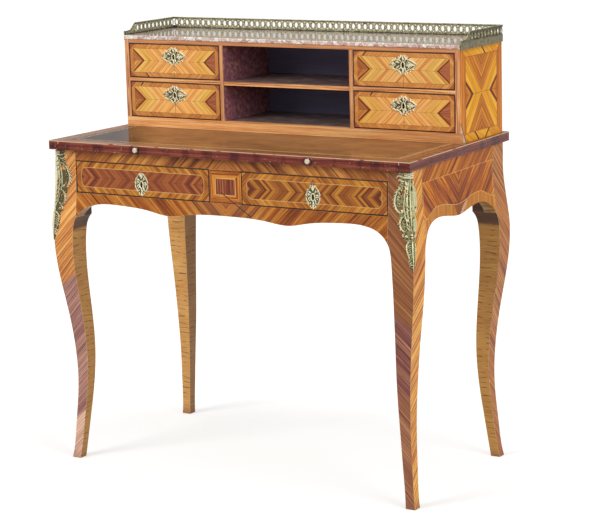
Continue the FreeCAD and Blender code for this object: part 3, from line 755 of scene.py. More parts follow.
# Each palette of old gilding runs from the hollows to the crests.
CREAM = (rgb(34, 28, 14), rgb(98, 84, 46), rgb(188, 168, 112), rgb(255, 238, 186), rgb(255, 250, 220))
# Next two: a brighter copy for the right chute (painted light), a dimmer one for the left (painted shade).
YELLOW_CREAM = (rgb(30, 26, 12), rgb(92, 84, 42), rgb(184, 174, 108), rgb(255, 246, 184), rgb(255, 253, 216))
SOFT_CREAM = (rgb(40, 34, 18), rgb(96, 86, 50), rgb(160, 146, 98), rgb(214, 200, 154), rgb(236, 228, 192))
OLIVE = (rgb(12, 10, 6), rgb(40, 36, 24), rgb(74, 69, 46), rgb(116, 110, 78), rgb(190, 184, 146))
DULL = (rgb(40, 34, 26), rgb(92, 84, 68), rgb(140, 130, 110), rgb(204, 194, 172))
# Last two: near-black ground plates under the openwork, painted shade for the holes; lighter on the right
# chute.
GROUND = (rgb(8, 7, 4), rgb(22, 20, 11), rgb(44, 40, 22), rgb(84, 78, 44))
DEEP_GROUND = (rgb(10, 8, 4), rgb(30, 26, 14), rgb(66, 59, 36), rgb(136, 124, 84))


def gilt(name, seed, colours, rough=0.18, reach=4, low=0.42, high=1.02, metallic=0.45, sparkle=0.9,
         right_shade=0, tall=1):
    """Old gilt brass: bright and rubbed on the crests, olive-brown in the hollows. low and high limit
    the tones, sparkle sets the strength of the painted glints, and tall stretches them upwards."""
    s = Surface(name)
    cloud = s.noise(s.x * 0.12, s.y * 0.12, s.z * 0.12 + seed, 4)
    pits = s.cloud(0.9, 3, 0.7)
    open_sky = s.put("ShaderNodeAmbientOcclusion", (("Distance", reach * MM),), 1, samples=6)
    # Painted glints: noise that brightens the tone in spots, stretched upwards by tall.
    glint = s.noise(s.x * 0.27, s.y * 0.27, s.z * 0.27 / tall + seed, 2, 0.7)
    crest = open_sky + (pits - 0.5) * 0.4 + (cloud - 0.5) * 0.4 + (glint - 0.5) * sparkle
    colour = s.shade(rise(crest, low, high), colours)
    # Painted shade on the right-hand faces that look right.
    right_faces = above(s.nx, 0.7) * above(s.x, 0)
    colour = s.mix(right_faces * right_shade, colour, rgb(58, 48, 22))
    return s.finish(colour, cloud * 0.2 + pits * 0.15 + rough, pits, 0.15, metallic=metallic)


def steel():
    """Brushed steel of the locks, with spots of rust."""
    s = Surface("lock_steel")
    scratch = s.noise(s.x * 0.2, s.y * 2, s.z * 1.5, 3)
    rust = rise(s.cloud(0.15, 4), 0.5, 0.7)
    colour = s.mix(rust, rgb(128, 124, 118), rgb(86, 64, 50))
    return s.finish(colour, scratch * 0.3 + 0.3, scratch, 0.08, metallic=0.8)


# ---- Finishes of the CAD nodes ----

# Small drawers: how much the field is darkened, and the filled crack in the border as its place across
# and up from the middle and its lean in degrees.
SMALL_DRAWERS = {
    "upper_drawer_left": (0, (-74, -33, -50)),
    "lower_drawer_left": (0, (-90, 36, 50)),
    "upper_drawer_right": (0.19, (-95, 33, 50)),
    "lower_drawer_right": (0.04, (-79, 36, 50)),
}

# Legs: angle of the strips, colours of the front or back face from a height down, colours of the side
# face and of the inner faces, shade of the inner face.
LEGS = {
    "leg_front_left": (46, ((0, APRICOT), (420, MAUVE), (100, TAN)), ORANGE, OCHRE, 0),
    "leg_front_right": (44, ((0, UMBER), (400, PLUM), (235, BROWN)), AMBER, OCHRE, 0),
    "leg_back_left": (46, ((0, ORANGE),), ORANGE, PALE_OCHRE, 0.55),
    "leg_back_right": (46, ((0, ORANGE),), RUSSET, OCHRE, 0),
}


def desk_materials():
    """The material of each fixed CAD node in sight, and of the writing slide."""
    top_board = (rgb(226, 164, 114), rgb(194, 130, 86), rgb(136, 82, 56))
    return {
        "front_top_rail": top_rail(),
        "front_apron": front_apron(),
        "front_centre_stile": centre_block(),
        "back_apron": plain_wood("tulipwood_back_apron", ORANGE, "x", 0.8, 16, 15, 0.33),
        "drawer_runners": oak("runner_oak", 73),
        "table_top_frame": table_edge("purpleheart_frame", 51),
        "writing_slide": table_edge("purpleheart_slide", 53),
        "slide_lipping": table_edge("purpleheart_lipping", 55),
        "slide_leather": leather(),
        "upper_plinth_rail": plinth_wood(),
        "upper_top_board": plain_wood("case_top_rail", top_board, "x", 0.8, 6, 59, 0.23),
        "upper_bottom_board": case_rail("case_floor", 63),
        "upper_partitions": case_upright("case_partitions", 65),
        "upper_dividers": case_rail("case_dividers", 67),
        "upper_shelf": case_rail("case_shelf", 69),
        "upper_back": case_back(),
        "marble_top": marble(),
    }


def finish_nodes():
    """Gives every CAD node that shows its material."""
    drawer_oak = oak("drawer_oak", 71)
    lock = steel()
    materials = desk_materials()
    for number, (drawer, look) in enumerate(SMALL_DRAWERS.items()):
        materials[f"{drawer}_front"] = case_front(drawer, 81 + number, *look)
    for number, (node, look) in enumerate(LEGS.items()):
        materials[node] = leg_wood(node, 91 + number, *look)
    for side in ("left", "right"):
        materials[f"side_apron_{side}"] = side_apron(side)
        materials[f"upper_side_{side}"] = case_side(side)
        materials[f"frieze_drawer_{side}_front"] = frieze_front(side)
        for row in ("frieze", "lower", "upper"):
            materials[f"{row}_drawer_{side}_box"] = drawer_oak
            materials[f"{row}_drawer_{side}_lock_case"] = lock
            materials[f"{row}_drawer_{side}_lock_bolt"] = lock
    for node, material in materials.items():
        slots = nodes[node].data.materials
        slots.clear()
        slots.append(material)


def add_object(name, data):
    """Adds an object to the scene."""
    thing = bpy.data.objects.new(name, data)
    bpy.context.scene.collection.objects.link(thing)
    return thing


def soften(node):
    """Rounds the arrises of a board with flat faces by a small bevel."""
    piece = nodes[node]
    weld = piece.modifiers.new("weld", "WELD")
    weld.merge_threshold = 0.01 * MM
    bevel = piece.modifiers.new("arris", "BEVEL")
    bevel.width = 0.5 * MM
    bevel.segments = 2
    bevel.limit_method = "ANGLE"
    bevel.angle_limit = math.radians(50)


def soften_boards():
    """Bevels the boards and drawer fronts, but no metal and no shaped apron."""
    boards = ("upper_", "front_", "table_", "writing_", "slide_lip", "lower_drawer")
    sharp = ("escutcheon", "apron", "lock_bolt", "lock_case")
    for node in nodes:
        if (node.startswith(boards) or node.endswith("_front")) and not node.endswith(sharp):
            soften(node)


# ---- Relief: leaves, scrolls and bosses for the gilt mounts ----

def circle(count, half_step=0):
    """Evenly spaced angles once round."""
    return [2 * math.pi * (k + half_step) / count for k in range(count)]


def bridge(bm, first, second):
    """Faces between two rings of points. Either may be a single point."""
    count = max(len(first), len(second))
    for k in range(count):
        n = (k + 1) % count
        corners = [ring[i % len(ring)] for ring, i in ((first, k), (first, n), (second, n), (second, k))]
        bm.faces.new(list(dict.fromkeys(corners)))


def smooth_run(rows, steps, closed=False):
    """Points of a Catmull-Rom curve through rows of numbers, steps to each span."""
    count = len(rows)
    spans = count if closed else count - 1
    run = []
    for i in range(spans):
        if closed:
            a, b, c, d = (rows[(i + k) % count] for k in (-1, 0, 1, 2))
        else:
            a, b, c, d = (rows[min(max(i + k, 0), count - 1)] for k in (-1, 0, 1, 2))
        for step in range(steps):
            t = step / steps
            run.append(tuple(0.5 * (2 * q + (r - p) * t + (2 * p - 5 * q + 4 * r - s) * t * t
                                    + (3 * q - p - 3 * r + s) * t ** 3) for p, q, r, s in zip(a, b, c, d)))
    if not closed:
        run.append(tuple(rows[-1]))
    return run


LEAF = ((-1, 0), (-0.8, 0.55), (-0.35, 1), (0, 0.72), (0.35, 1), (0.8, 0.55), (1, 0))
ROD = ((-1, 0), (-0.9, 0.6), (-0.45, 0.95), (0.45, 0.95), (0.9, 0.6), (1, 0))


def stroke(bm, place, rows, profile=LEAF, steps=4, closed=False):
    """A raised stroke along rows of (a, b, half width, height) in a mount's own plane. place turns
    (a, b, height) into a point of the part."""
    run = smooth_run(rows, steps, closed)
    rings = []
    for i, (a, b, width, height) in enumerate(run):
        before = run[i - 1] if closed or i else run[i]
        after = run[(i + 1) % len(run)] if closed else run[min(i + 1, len(run) - 1)]
        da = after[0] - before[0]
        db = after[1] - before[1]
        size = math.hypot(da, db) or 1
        ring = [place(a - db / size * width * w, b + da / size * width * w, height * h) for w, h in profile]
        rings.append([bm.verts.new(p) for p in ring])
    for first, second in zip(rings, rings[1:] + rings[:1] if closed else rings[1:]):
        bridge(bm, first, second)
    if not closed:
        bm.faces.new(rings[0][::-1])
        bm.faces.new(rings[-1])


def boss(bm, place, a, b, radius, height):
    """A small dome."""
    levels = 3
    rings = []
    for level in range(levels):
        turn = math.pi / 2 * level / levels
        reach = radius * math.cos(turn)
        lift = height * math.sin(turn)
        rings.append([bm.verts.new(place(a + reach * math.cos(t), b + reach * math.sin(t), lift))
                      for t in circle(10)])
    crown = [bm.verts.new(place(a, b, height))]
    for low, high in zip(rings, rings[1:] + [crown]):
        bridge(bm, low, high)
    bm.faces.new(rings[0][::-1])


def spiral(a, b, radius, start, turn, tight=0.25, width=1.2, height=1.8, points=7):
    """Rows for a scroll that winds in round (a, b) from a start angle through turn, in degrees."""
    rows = []
    for i in range(points):
        share = i / (points - 1)
        angle = math.radians(start + turn * share)
        reach = radius * (1 - (1 - tight) * share)
        rows.append((a + reach * math.cos(angle), b + reach * math.sin(angle),
                     width * (1 - 0.35 * share), height * (0.8 + 0.3 * share)))
    return rows


def frond(bm, place, spine, count, reach, side, width=1.2, height=3):
    """Leaflets that spring from one side of a curve through (a, b) points and bend along it."""
    run = smooth_run(spine, 6)
    for i in range(count):
        share = (i + 0.5) / count
        k = int(share * (len(run) - 1))
        a, b = run[k]
        da = run[k + 1][0] - a
        db = run[k + 1][1] - b
        size = math.hypot(da, db) or 1
        along = (da / size, db / size)
        out = (-along[1] * side, along[0] * side)
        long = reach * (0.55 + 0.45 * math.sin(math.pi * share)) * (1 if i % 2 else 0.8)
        rows = []
        for forward, sideways, w, h in ((0, 0, 0.8, 0.9), (0.35, 0.5, 1, 1), (0.95, 0.9, 0.25, 0.4)):
            rows.append((a + long * (along[0] * forward + out[0] * sideways),
                         b + long * (along[1] * forward + out[1] * sideways), width * w, height * h))
        stroke(bm, place, rows, steps=3)


def closed_sheet(bm, under, over, holes):
    """Shell between two grids of points, open at the cells in holes."""
    low = [[bm.verts.new(p) for p in row] for row in under]
    high = [[bm.verts.new(p) for p in row] for row in over]
    cells = {(i, k) for i in range(len(under) - 1) for k in range(len(under[0]) - 1)}
    kept = cells - set(holes)
    for i, k in kept:
        bm.faces.new((low[i][k], low[i + 1][k], low[i + 1][k + 1], low[i][k + 1]))
        bm.faces.new((high[i][k], high[i][k + 1], high[i + 1][k + 1], high[i + 1][k]))
        walls = (((i - 1, k), (i, k), (i, k + 1)), ((i + 1, k), (i + 1, k), (i + 1, k + 1)),
                 ((i, k - 1), (i, k), (i + 1, k)), ((i, k + 1), (i, k + 1), (i + 1, k + 1)))
        for beside, (ai, ak), (bi, bk) in walls:
            if beside not in kept:
                bm.faces.new((low[ai][ak], low[bi][bk], high[bi][bk], high[ai][ak]))
    for vert in [v for v in bm.verts if not v.link_faces]:
        bm.verts.remove(vert)


def piece_from(bm, name, materials, body, replaced):
    """Turns a bmesh into a piece of gilt brass that rides on a body and replaces a CAD node."""
    bmesh.ops.recalc_face_normals(bm, faces=bm.faces)
    mesh = bpy.data.meshes.new(name)
    bm.to_mesh(mesh)
    bm.free()
    for material in materials:
        mesh.materials.append(material)
    mesh.shade_smooth()
    mesh.set_sharp_from_angle(angle=math.radians(50))
    piece = add_object(name, mesh)
    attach(piece, body)
    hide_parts(replaced)


# ---- Escutcheons ----

# Keyhole: radius of its round, half width of its slot, and how far the slot reaches down.
KEY_RADIUS = 2.5
KEY_SLOT = 1.4
KEY_DROP = 8.5
KEY_MIDDLE = (KEY_RADIUS - KEY_DROP) / 2
# How far the middle of an ornament lies below the round of its keyhole.
SINK = 1.5


def keyhole_point(angle):
    """Where a ray from the keyhole's middle at that angle leaves it: a circle with a slot below it."""
    c = math.cos(angle)
    s = math.sin(angle)
    slot_reach = KEY_SLOT / max(abs(c), 1e-6)
    if s < 0:
        reach = min(slot_reach, (KEY_MIDDLE + KEY_DROP) / -s)
        return reach * c, KEY_MIDDLE + reach * s
    lift = -KEY_MIDDLE
    root = KEY_RADIUS ** 2 - (lift * c) ** 2
    round_reach = lift * s + math.sqrt(root) if root > 0 else 0
    reach = max(slot_reach if slot_reach * s < lift else round_reach, round_reach)
    return reach * c, KEY_MIDDLE + reach * s


def ground_plate(bm, place, outline):
    """Thin plate from a real keyhole out to the outline, which gives (a, b) at an angle."""
    thickness = 0.9
    loops = []
    for share, level in ((0, 0), (0, thickness), (0.5, thickness), (1, thickness), (1, 0)):
        loop = []
        for angle in circle(48):
            inner = keyhole_point(angle)
            outer = outline(angle)
            a, b = (p + (q - p) * share for p, q in zip(inner, outer))
            loop.append(bm.verts.new(place(a, b, level)))
        loops.append(loop)
    for first, second in zip(loops, loops[1:] + loops[:1]):
        bridge(bm, first, second)


def key_rim(bm, place):
    """Raised oval lip round the keyhole."""
    rows = [(4.6 * math.cos(t), KEY_MIDDLE + 7.8 * math.sin(t), 1.5, 2.6) for t in circle(12)]
    stroke(bm, place, rows, steps=2, closed=True)


def spokes(bm, place, outline, inner):
    """Short bent leaves that radiate from the key lip, at a share inner of the way to the outline."""
    outer = 0.86
    twist = 0.4
    for k, angle in enumerate(circle(10, 0.5)):
        rows = []
        for share, width, height in ((inner, 1.1, 1.8), ((inner + outer) / 2, 1.8, 3), (outer, 0.8, 1.6)):
            a, b = outline(angle + twist * (share - inner) * (1 if k % 2 else -1))
            rows.append((a * share, b * share, width, height))
        stroke(bm, place, rows, steps=3)


def lozenge_outline(angle):
    """Where a ray from the keyhole at that angle leaves the lozenge, whose sides swell outwards."""
    c = math.cos(angle)
    s = math.sin(angle)
    reach = (1 + 0.15 * math.sin(2 * angle) ** 2) / (abs(c) / 33 + abs(s) / 18.5)
    return reach * c, reach * s - SINK


def oval_outline(angle):
    """Where a ray from the keyhole at that angle leaves the oval, which is slightly pointed."""
    power = 1.6
    c = abs(math.cos(angle)) / 16.5
    s = abs(math.sin(angle)) / 24.5
    reach = (c ** power + s ** power) ** (-1 / power) * (1 - 0.06 * math.sin(4 * angle) ** 2)
    return reach * math.cos(angle), reach * math.sin(angle) - SINK


def lozenge(bm, place):
    """Wide rocaille lozenge: scrolls, leaves and beads round the keyhole, a shell lobe at its left."""
    key_rim(bm, place)
    spokes(bm, place, lozenge_outline, 0.4)
    for sx in (-1, 1):
        for sz in (-1, 1):
            def corner(a, b, h):
                return place(a * sx, b * sz - SINK, h)
            stroke(bm, corner, [(0.5, 19, 0.6, 1.2), (4.5, 17.5, 1.7, 2.6), (9, 13.5, 1.9, 3),
                                (14, 11, 1.4, 2.6), (19.5, 9.8, 1.7, 2.8), (25, 6.2, 1.6, 2.6),
                                (29.5, 3, 1.2, 2), (33.5, 1.6, 0.5, 1)])
            stroke(bm, corner, spiral(14.6, 5.6, 4.2, 150, -330, 0.3, 1, 2.4))
            for a, b, reach in ((4.2, 18.6, 2.4), (9.4, 14.6, 3.2), (16.6, 11.6, 3), (23.4, 8.2, 2.8)):
                stroke(bm, corner, [(a, b, 1.1, 1.8), (a + 1.2, b + reach * 0.6, 1.2, 1.8),
                                    (a + 2.6, b + reach, 0.3, 0.8)], steps=3)
            boss(bm, corner, 14.4, 5.6, 1.4, 3.2)
            boss(bm, corner, 21.5, 3.6, 1.1, 2.8)
    shell = -17
    for k in range(5):
        c = math.cos(math.radians(140 + 20 * k))
        s = math.sin(math.radians(140 + 20 * k))
        stroke(bm, place, [(shell, -SINK, 0.8, 2.4), (shell + 7 * c, -SINK + 5 * s, 1.6, 3.2),
                           (shell + 14 * c, -SINK + 9 * s, 0.6, 1.6)])
    stroke(bm, place, [(8.5, -SINK, 1.2, 1.8), (15, -SINK, 2.2, 2.8), (24, -SINK, 2.2, 3),
                       (34.5, -SINK, 0.4, 1)])
    for sz in (-1, 1):
        stroke(bm, place, [(0, 9.5 * sz - SINK, 1.2, 2), (0, 14.5 * sz - SINK, 2, 3),
                           (0, 20.5 * sz - SINK, 0.4, 1)])


def oval(bm, place):
    """Upright rocaille oval with a shell at the top and a small pendant."""
    key_rim(bm, place)
    spokes(bm, place, oval_outline, 0.42)
    for sx in (-1, 1):
        def half(a, b, h):
            return place(a * sx, b - SINK, h)
        stroke(bm, half, [(0.8, 22, 0.7, 1.4), (4.6, 21.6, 1.4, 2.6), (8.8, 17.8, 1, 2.2),
                          (12.2, 13.4, 1.5, 3), (15.2, 7.6, 1, 2.4), (16.2, 2.8, 1.4, 2.8),
                          (13.2, -0.6, 1, 2.2), (10.8, 2.6, 0.8, 2), (12, 5.2, 0.6, 1.6)])
        stroke(bm, half, [(16.2, -0.4, 0.7, 1.4), (15.8, -5.6, 1.4, 2.6), (12.8, -11.2, 1, 2.2),
                          (9.4, -15.4, 1.3, 2.4), (5.8, -14.6, 0.8, 2), (6.6, -12, 0.6, 1.6)])
        frond(bm, half, [(6.5, 20.8), (12.5, 14), (16, 6)], 5, 3.4, -1, 0.9)
        frond(bm, half, [(16.4, -3), (13.5, -11), (8.5, -17)], 5, 3, 1, 0.9)
        stroke(bm, half, [(2.2, 14.6, 0.9, 1.6), (3.6, 20, 1.4, 2.4), (5.2, 25, 0.4, 1)])
        stroke(bm, half, [(4.6, -17.4, 0.7, 1.4), (6.2, -20.8, 1.2, 2.2), (3, -23.4, 1, 1.8),
                          (0.6, -21.4, 0.5, 1.2)])
        for a, b in ((11.4, 4), (6.6, -13.4), (8.4, 10.6), (10.6, -5.6)):
            boss(bm, half, a, b, 1.3, 2.9)
    stroke(bm, place, [(0, 10, 1.2, 1.8), (0, 16.5, 2.2, 3.2), (0, 24, 0.5, 1)])
    stroke(bm, place, [(0, -15, 1.2, 1.6), (0, -20, 1.4, 2.4), (0, -24.5, 1.9, 2.8),
                       (0, -29, 0.4, 1)])


def mark_ground(bm):
    """Gives the faces so far the second material, and what is added later the first."""
    for face in bm.faces:
        face.material_index = 1


def escutcheon(row, side, ornament, outline, brass):
    """A ground plate with a real keyhole and the ornament raised on it."""
    node = f"{row}_drawer_{side}_escutcheon"
    middle = span(node)[0]
    back = extent(node)[1].y

    def place(a, b, h):
        return Vector((middle.x + a, back - h, middle.z + b)) * MM

    bm = bmesh.new()
    ground_plate(bm, place, outline)
    mark_ground(bm)
    ornament(bm, place)
    piece_from(bm, f"{node}_relief", brass, f"{row}_drawer_{side}", node)


def escutcheons(brass):
    """Ovals on the frieze drawers and lozenges on the small ones. brass is the relief's and the ground's."""
    for row in ("frieze", "lower", "upper"):
        ornament, outline = (oval, oval_outline) if row == "frieze" else (lozenge, lozenge_outline)
        for side in ("left", "right"):
            escutcheon(row, side, ornament, outline, brass)


# ---- Knobs ----

def knobs(brass):
    """Two small turned knobs on the slide's front edge."""
    low, high = extent("slide_knobs")
    # Radius and distance from the edge, along the turned profile.
    turning = ((0, 0), (5.2, 0), (5.2, 0.7), (4.4, 1.1), (3, 1.5), (2.6, 2.6), (3.2, 3.4),
               (5, 4), (5.9, 5), (5.7, 6.2), (4.4, 7.2), (2.4, 7.7), (1.6, 7.5), (0, 8))
    bm = bmesh.new()
    for side in (-1, 1):
        centre = Vector((side * (high.x - 6), high.y, (low.z + high.z) / 2))
        rings = []
        for radius, reach in turning:
            offsets = [Vector((radius * math.cos(t), -reach, radius * math.sin(t)))
                       for t in (circle(28) if radius else [0])]
            rings.append([bm.verts.new((centre + offset) * MM) for offset in offsets])
        for first, second in zip(rings, rings[1:]):
            bridge(bm, first, second)
    piece_from(bm, "slide_knobs_turned", [brass], "writing_slide", "slide_knobs")


# ---- Gallery ----

# Swept front end of the gallery: share of its length, share of its rise.
SWEEP = ((0, 0.1), (0.3, 0.17), (0.58, 0.27), (0.8, 0.7), (0.94, 0.96), (1, 1))


def bar(bm, place, along, height, outward):
    """A box between pairs of limits in the coordinates that place takes."""
    corners = [bm.verts.new(place(a, b, h)) for a in along for b in height for h in outward]
    for face in ((0, 1, 3, 2), (4, 6, 7, 5), (0, 4, 5, 1), (2, 3, 7, 6), (0, 2, 6, 4), (1, 5, 7, 3)):
        bm.faces.new([corners[k] for k in face])


def pierced_row(bm, place, start, end, low, high, sheet):
    """Upright oval rings that touch, with a small lozenge and an X between each two."""
    pitch = 15
    wire = 0.8
    count = int((end - start) // pitch)
    step = (end - start) / count
    middle = (low + high) / 2
    reach = (high - low) / 2
    for i in range(count):
        centre = start + (i + 0.5) * step
        ring = [(centre + 5 * math.cos(t), middle + (reach - 0.4) * math.sin(t), 1.35, sheet + 0.3)
                for t in circle(16)]
        stroke(bm, place, ring, ROD, 1, True)
    for i in range(1, count):
        joint = start + i * step
        gem = [(joint + 1.7 * c, middle + 2.6 * s, wire, sheet) for c, s in
               ((1, 0), (0.5, 0.5), (0, 1), (-0.5, 0.5), (-1, 0), (-0.5, -0.5), (0, -1), (0.5, -0.5))]
        stroke(bm, place, gem, ROD, 1, True)
        for lift in (-1, 1):
            for lean in (-1, 1):
                stroke(bm, place, [(joint, middle + lift * 2.4, wire, sheet),
                                   (joint + lean * 1.4, middle + lift * reach * 0.7, wire, sheet),
                                   (joint + lean * 3, middle + lift * (reach + 0.3), wire, sheet)], ROD, 2)


def swept_end(bm, place, front, length, low, high, sheet):
    """Sheet that sweeps up from the band to the rail, with a moulding on its edge and a bead."""
    sweep = smooth_run([(front + run * length, low + share * (high - low)) for run, share in SWEEP], 4)
    foot = [bm.verts.new(place(a, low, h)) for a, b in sweep for h in (0, sheet)]
    head = [bm.verts.new(place(a, b - 0.5, h)) for a, b in sweep for h in (0, sheet)]
    for i in range(0, len(foot) - 2, 2):
        bm.faces.new((foot[i], foot[i + 2], head[i + 2], head[i]))
        bm.faces.new((foot[i + 1], head[i + 1], head[i + 3], foot[i + 3]))
        bm.faces.new((foot[i], foot[i + 1], foot[i + 3], foot[i + 2]))
        bm.faces.new((head[i], head[i + 2], head[i + 3], head[i + 1]))
    bm.faces.new((foot[0], head[0], head[1], foot[1]))
    bm.faces.new((foot[-2], foot[-1], head[-1], head[-2]))
    stroke(bm, place, [(a, b - 0.8, 0.8, sheet + 0.9) for a, b in sweep], ROD, 1)
    boss(bm, place, front + 2, low + 2, 2, sheet + 1)


def gallery(brass):
    """Plain band, a row of pierced ovals and a moulded top rail on three sides, with swept ends."""
    low, high = extent("gallery")
    marble_high = extent("marble_top")[1]
    sheet = high.x - marble_high.x
    band_height = 17
    rail_height = 4.6
    ramp = 46
    band = low.z + band_height
    bead = band - 0.9
    rail = high.z - rail_height
    bm = bmesh.new()

    def plain_band(place, start, end):
        """The band over the marble's edge, with a bead on top."""
        bar(bm, place, (start, end), (low.z, bead), (0, sheet))
        bar(bm, place, (start, end), (bead, band), (-0.3, sheet + 0.5))

    def wall(place, start, end):
        """One full-height side of the gallery."""
        plain_band(place, start, end)
        bar(bm, place, (start, end), (rail, rail + 1), (-0.4, sheet + 0.5))
        bar(bm, place, (start, end), (rail + 1, high.z - 1.5), (0.1, sheet - 0.1))
        bar(bm, place, (start, end), (high.z - 1.5, high.z), (-0.9, sheet + 0.9))
        pierced_row(bm, place, start, end, band, rail, sheet)

    def back_place(a, b, h):
        return Vector((a, marble_high.y + h, b)) * MM

    wall(back_place, -marble_high.x + 1, marble_high.x - 1)
    for side in (-1, 1):
        def side_place(a, b, h):
            return Vector((side * (marble_high.x + h), a, b)) * MM

        wall(side_place, low.y + ramp, marble_high.y + sheet)
        plain_band(side_place, low.y, low.y + ramp)
        swept_end(bm, side_place, low.y, ramp, band, high.z, sheet)
    piece_from(bm, "gallery_pierced", [brass], "desk", "gallery")


# ---- Chutes ----

def knee_surface(side):
    """Function from (offset from the ridge seen on the diagonal, height, lift) to a point over the knee
    of a front leg. A negative offset lies on the front face and a positive one on the side face."""
    leg = nodes["leg_front_right"].data
    knee = BVHTree.FromPolygons([v.co for v in leg.vertices], [p.vertices for p in leg.polygons])
    low, high = extent("leg_front_right")
    centre = (high.x + low.y) / 2
    outward = Vector((1, -1, 0)).normalized()
    sideways = Vector((1, 1, 0)).normalized()
    clearance = 0.3
    rounding = 5
    outside = outward * 600

    def place(a, b, h):
        start = Vector((centre, centre, b)) + outside + sideways * a
        point, normal = knee.ray_cast(start * MM, -outward)[:2]
        share = min(abs(a) / rounding, 1)
        lift = (outward * (1 - share) + normal * share).normalized()
        spot = point / MM + lift * (h + clearance)
        return Vector((side * spot.x, spot.y, spot.z)) * MM

    return place


# Outline of a chute: height below its top, and half widths on the front face and on the side face,
# seen along the diagonal of the leg.
CHUTE_EDGE = ((0, 13, 5), (5, 17, 6), (12, 15, 6), (20, 15, 7), (32, 20, 9), (44, 24, 11), (56, 26, 13),
              (72, 26, 13), (84, 22, 11), (96, 21, 9), (108, 20, 8), (120, 15, 7), (134, 16, 7), (141, 11, 6),
              (152, 12, 6), (166, 11, 5), (187, 6, 3), (203, 1, 1))


def chute_ground(bm, surface, top):
    """Thin ground with a rippled edge, pierced beside the ridge and between the scrolls."""
    thickness = 1
    rows = smooth_run(CHUTE_EDGE, 3)
    columns = (-1, -0.8, -0.6, -0.4, -0.2, 0, 0.35, 0.7, 1)
    holes = ((12, 1), (13, 1), (14, 1), (12, 2), (13, 2), (14, 2), (21, 1), (22, 1), (27, 1), (28, 2), (8, 1))

    def grid(lift):
        ripple = [1 + 0.07 * math.sin(b * 0.62) for b, front, flank in rows]
        return [[surface(c * (front if c < 0 else flank) * 0.9 * r, top - b, lift) for c in columns]
                for (b, front, flank), r in zip(rows, ripple)]

    closed_sheet(bm, grid(0), grid(thickness), holes)


def chute_ridge(bm, place):
    """Ringed collar and the tall ridge leaf under it, with leaflets that rise on both sides."""
    for b in (2.6, 6.6, 10.6):
        stroke(bm, place, [(-8, b, 1.3, 3.2), (-4, b, 1.4, 4.6), (0, b, 1.5, 5), (6, b, 1.4, 4.6),
                           (12, b, 1.3, 3.2)], ROD, 3)
    for a, lift, start, end in ((-6.6, 3.6, 20, 118), (-3.3, 4.6, 15, 124), (0, 5.6, 14, 126),
                                (3.6, 5, 15, 122), (8, 4.4, 22, 104), (12, 3.8, 34, 84)):
        bend = a * 1.3
        stroke(bm, place, [(a * 0.7, start, 0.8, lift * 0.7), (bend, start * 0.7 + end * 0.3, 1.15, lift),
                           (bend * 1.1, start * 0.4 + end * 0.6, 1.1, lift), (a * 0.6, end, 0.5, lift * 0.5)],
               steps=5)
    for b, reach in ((24, 5), (33, 6), (42, 6.5), (68, 6.5), (76, 6), (90, 5),
                     (99, 5.5), (108, 5), (116, 4)):
        for sx, long in ((-1, 1), (1, 1.5)):
            stroke(bm, place, [(sx * 2, b + 3, 0.8, 5),
                               (sx * (2 + reach * 0.6) * long, b - 0.5, 1.3, 5.4),
                               (sx * (2 + reach) * long, b - 6, 0.4, 3)], steps=3)


def chute_curls(bm, place):
    """Curls that flare out of the collar over the front face."""
    stroke(bm, place, [(-7, 12, 1.2, 3), (-13, 9, 1.8, 4), (-19, 8.5, 1.6, 3.6),
                       (-22, 13, 0.8, 2.4)])
    stroke(bm, place, [(-8, 3, 1, 2.6), (-13.5, 2, 1.5, 3.4), (-18, 4, 0.7, 2.2)])
    stroke(bm, place, [(-6, 17, 1, 3), (-11, 19, 1.6, 3.8), (-16.5, 16, 1.2, 3),
                       (-19, 19.5, 0.5, 1.8)])
    frond(bm, place, [(-6, 21), (-13, 25), (-18, 33)], 4, 4.5, 1, 1.1, 3.6)


def c_scroll(bm, place, spine, width, height, tail):
    """A scroll of even width along a spine of (a, b) points, with the rows of tail for its curl."""
    stroke(bm, place, [(a, b, width, height) for a, b in spine] + tail, steps=5)


def chute_scrolls(bm, half):
    """C-scroll round the piercing, a lower scroll and a spiral, with their leaves."""
    scroll = [(10, 28), (17.5, 35), (22.5, 46), (25, 60), (24, 72), (19, 82)]
    c_scroll(bm, half, scroll, 1.4, 4.2, [(13, 83, 1.2, 3.8), (12, 77, 0.8, 2.8)])
    frond(bm, half, scroll, 10, 5, -1, 1.1, 3.4)
    frond(bm, half, [(12, 30), (18, 42), (20.5, 58), (18.5, 74)], 7, 4.6, 1, 1, 3.6)
    boss(bm, half, 14, 79, 1.8, 4.6)
    scroll = [(8, 88), (14.5, 94), (18, 104), (16.5, 115), (11, 121)]
    c_scroll(bm, half, scroll, 1.3, 4, [(7.5, 117, 0.8, 3)])
    frond(bm, half, scroll, 7, 4.8, -1, 1.1, 3.4)
    frond(bm, half, [(9, 92), (13, 103), (11.5, 113)], 4, 3.6, 1, 0.9, 3.4)
    stroke(bm, half, spiral(10, 130, 5.4, -80, 330, 0.35, 1.2, 3.8, 9))
    boss(bm, half, 10, 130, 1.6, 4.2)


def chute_husk(bm, half):
    """One side of the tapering husk at the foot."""
    frond(bm, half, [(1.5, 138), (2.4, 160), (1.4, 190)], 10, 9, -1, 1.1, 3.8)
    stroke(bm, half, [(3, 138, 0.9, 2.8), (9, 148, 1.2, 3.4), (8, 164, 1, 3.2),
                      (3.4, 182, 0.5, 1.8)])


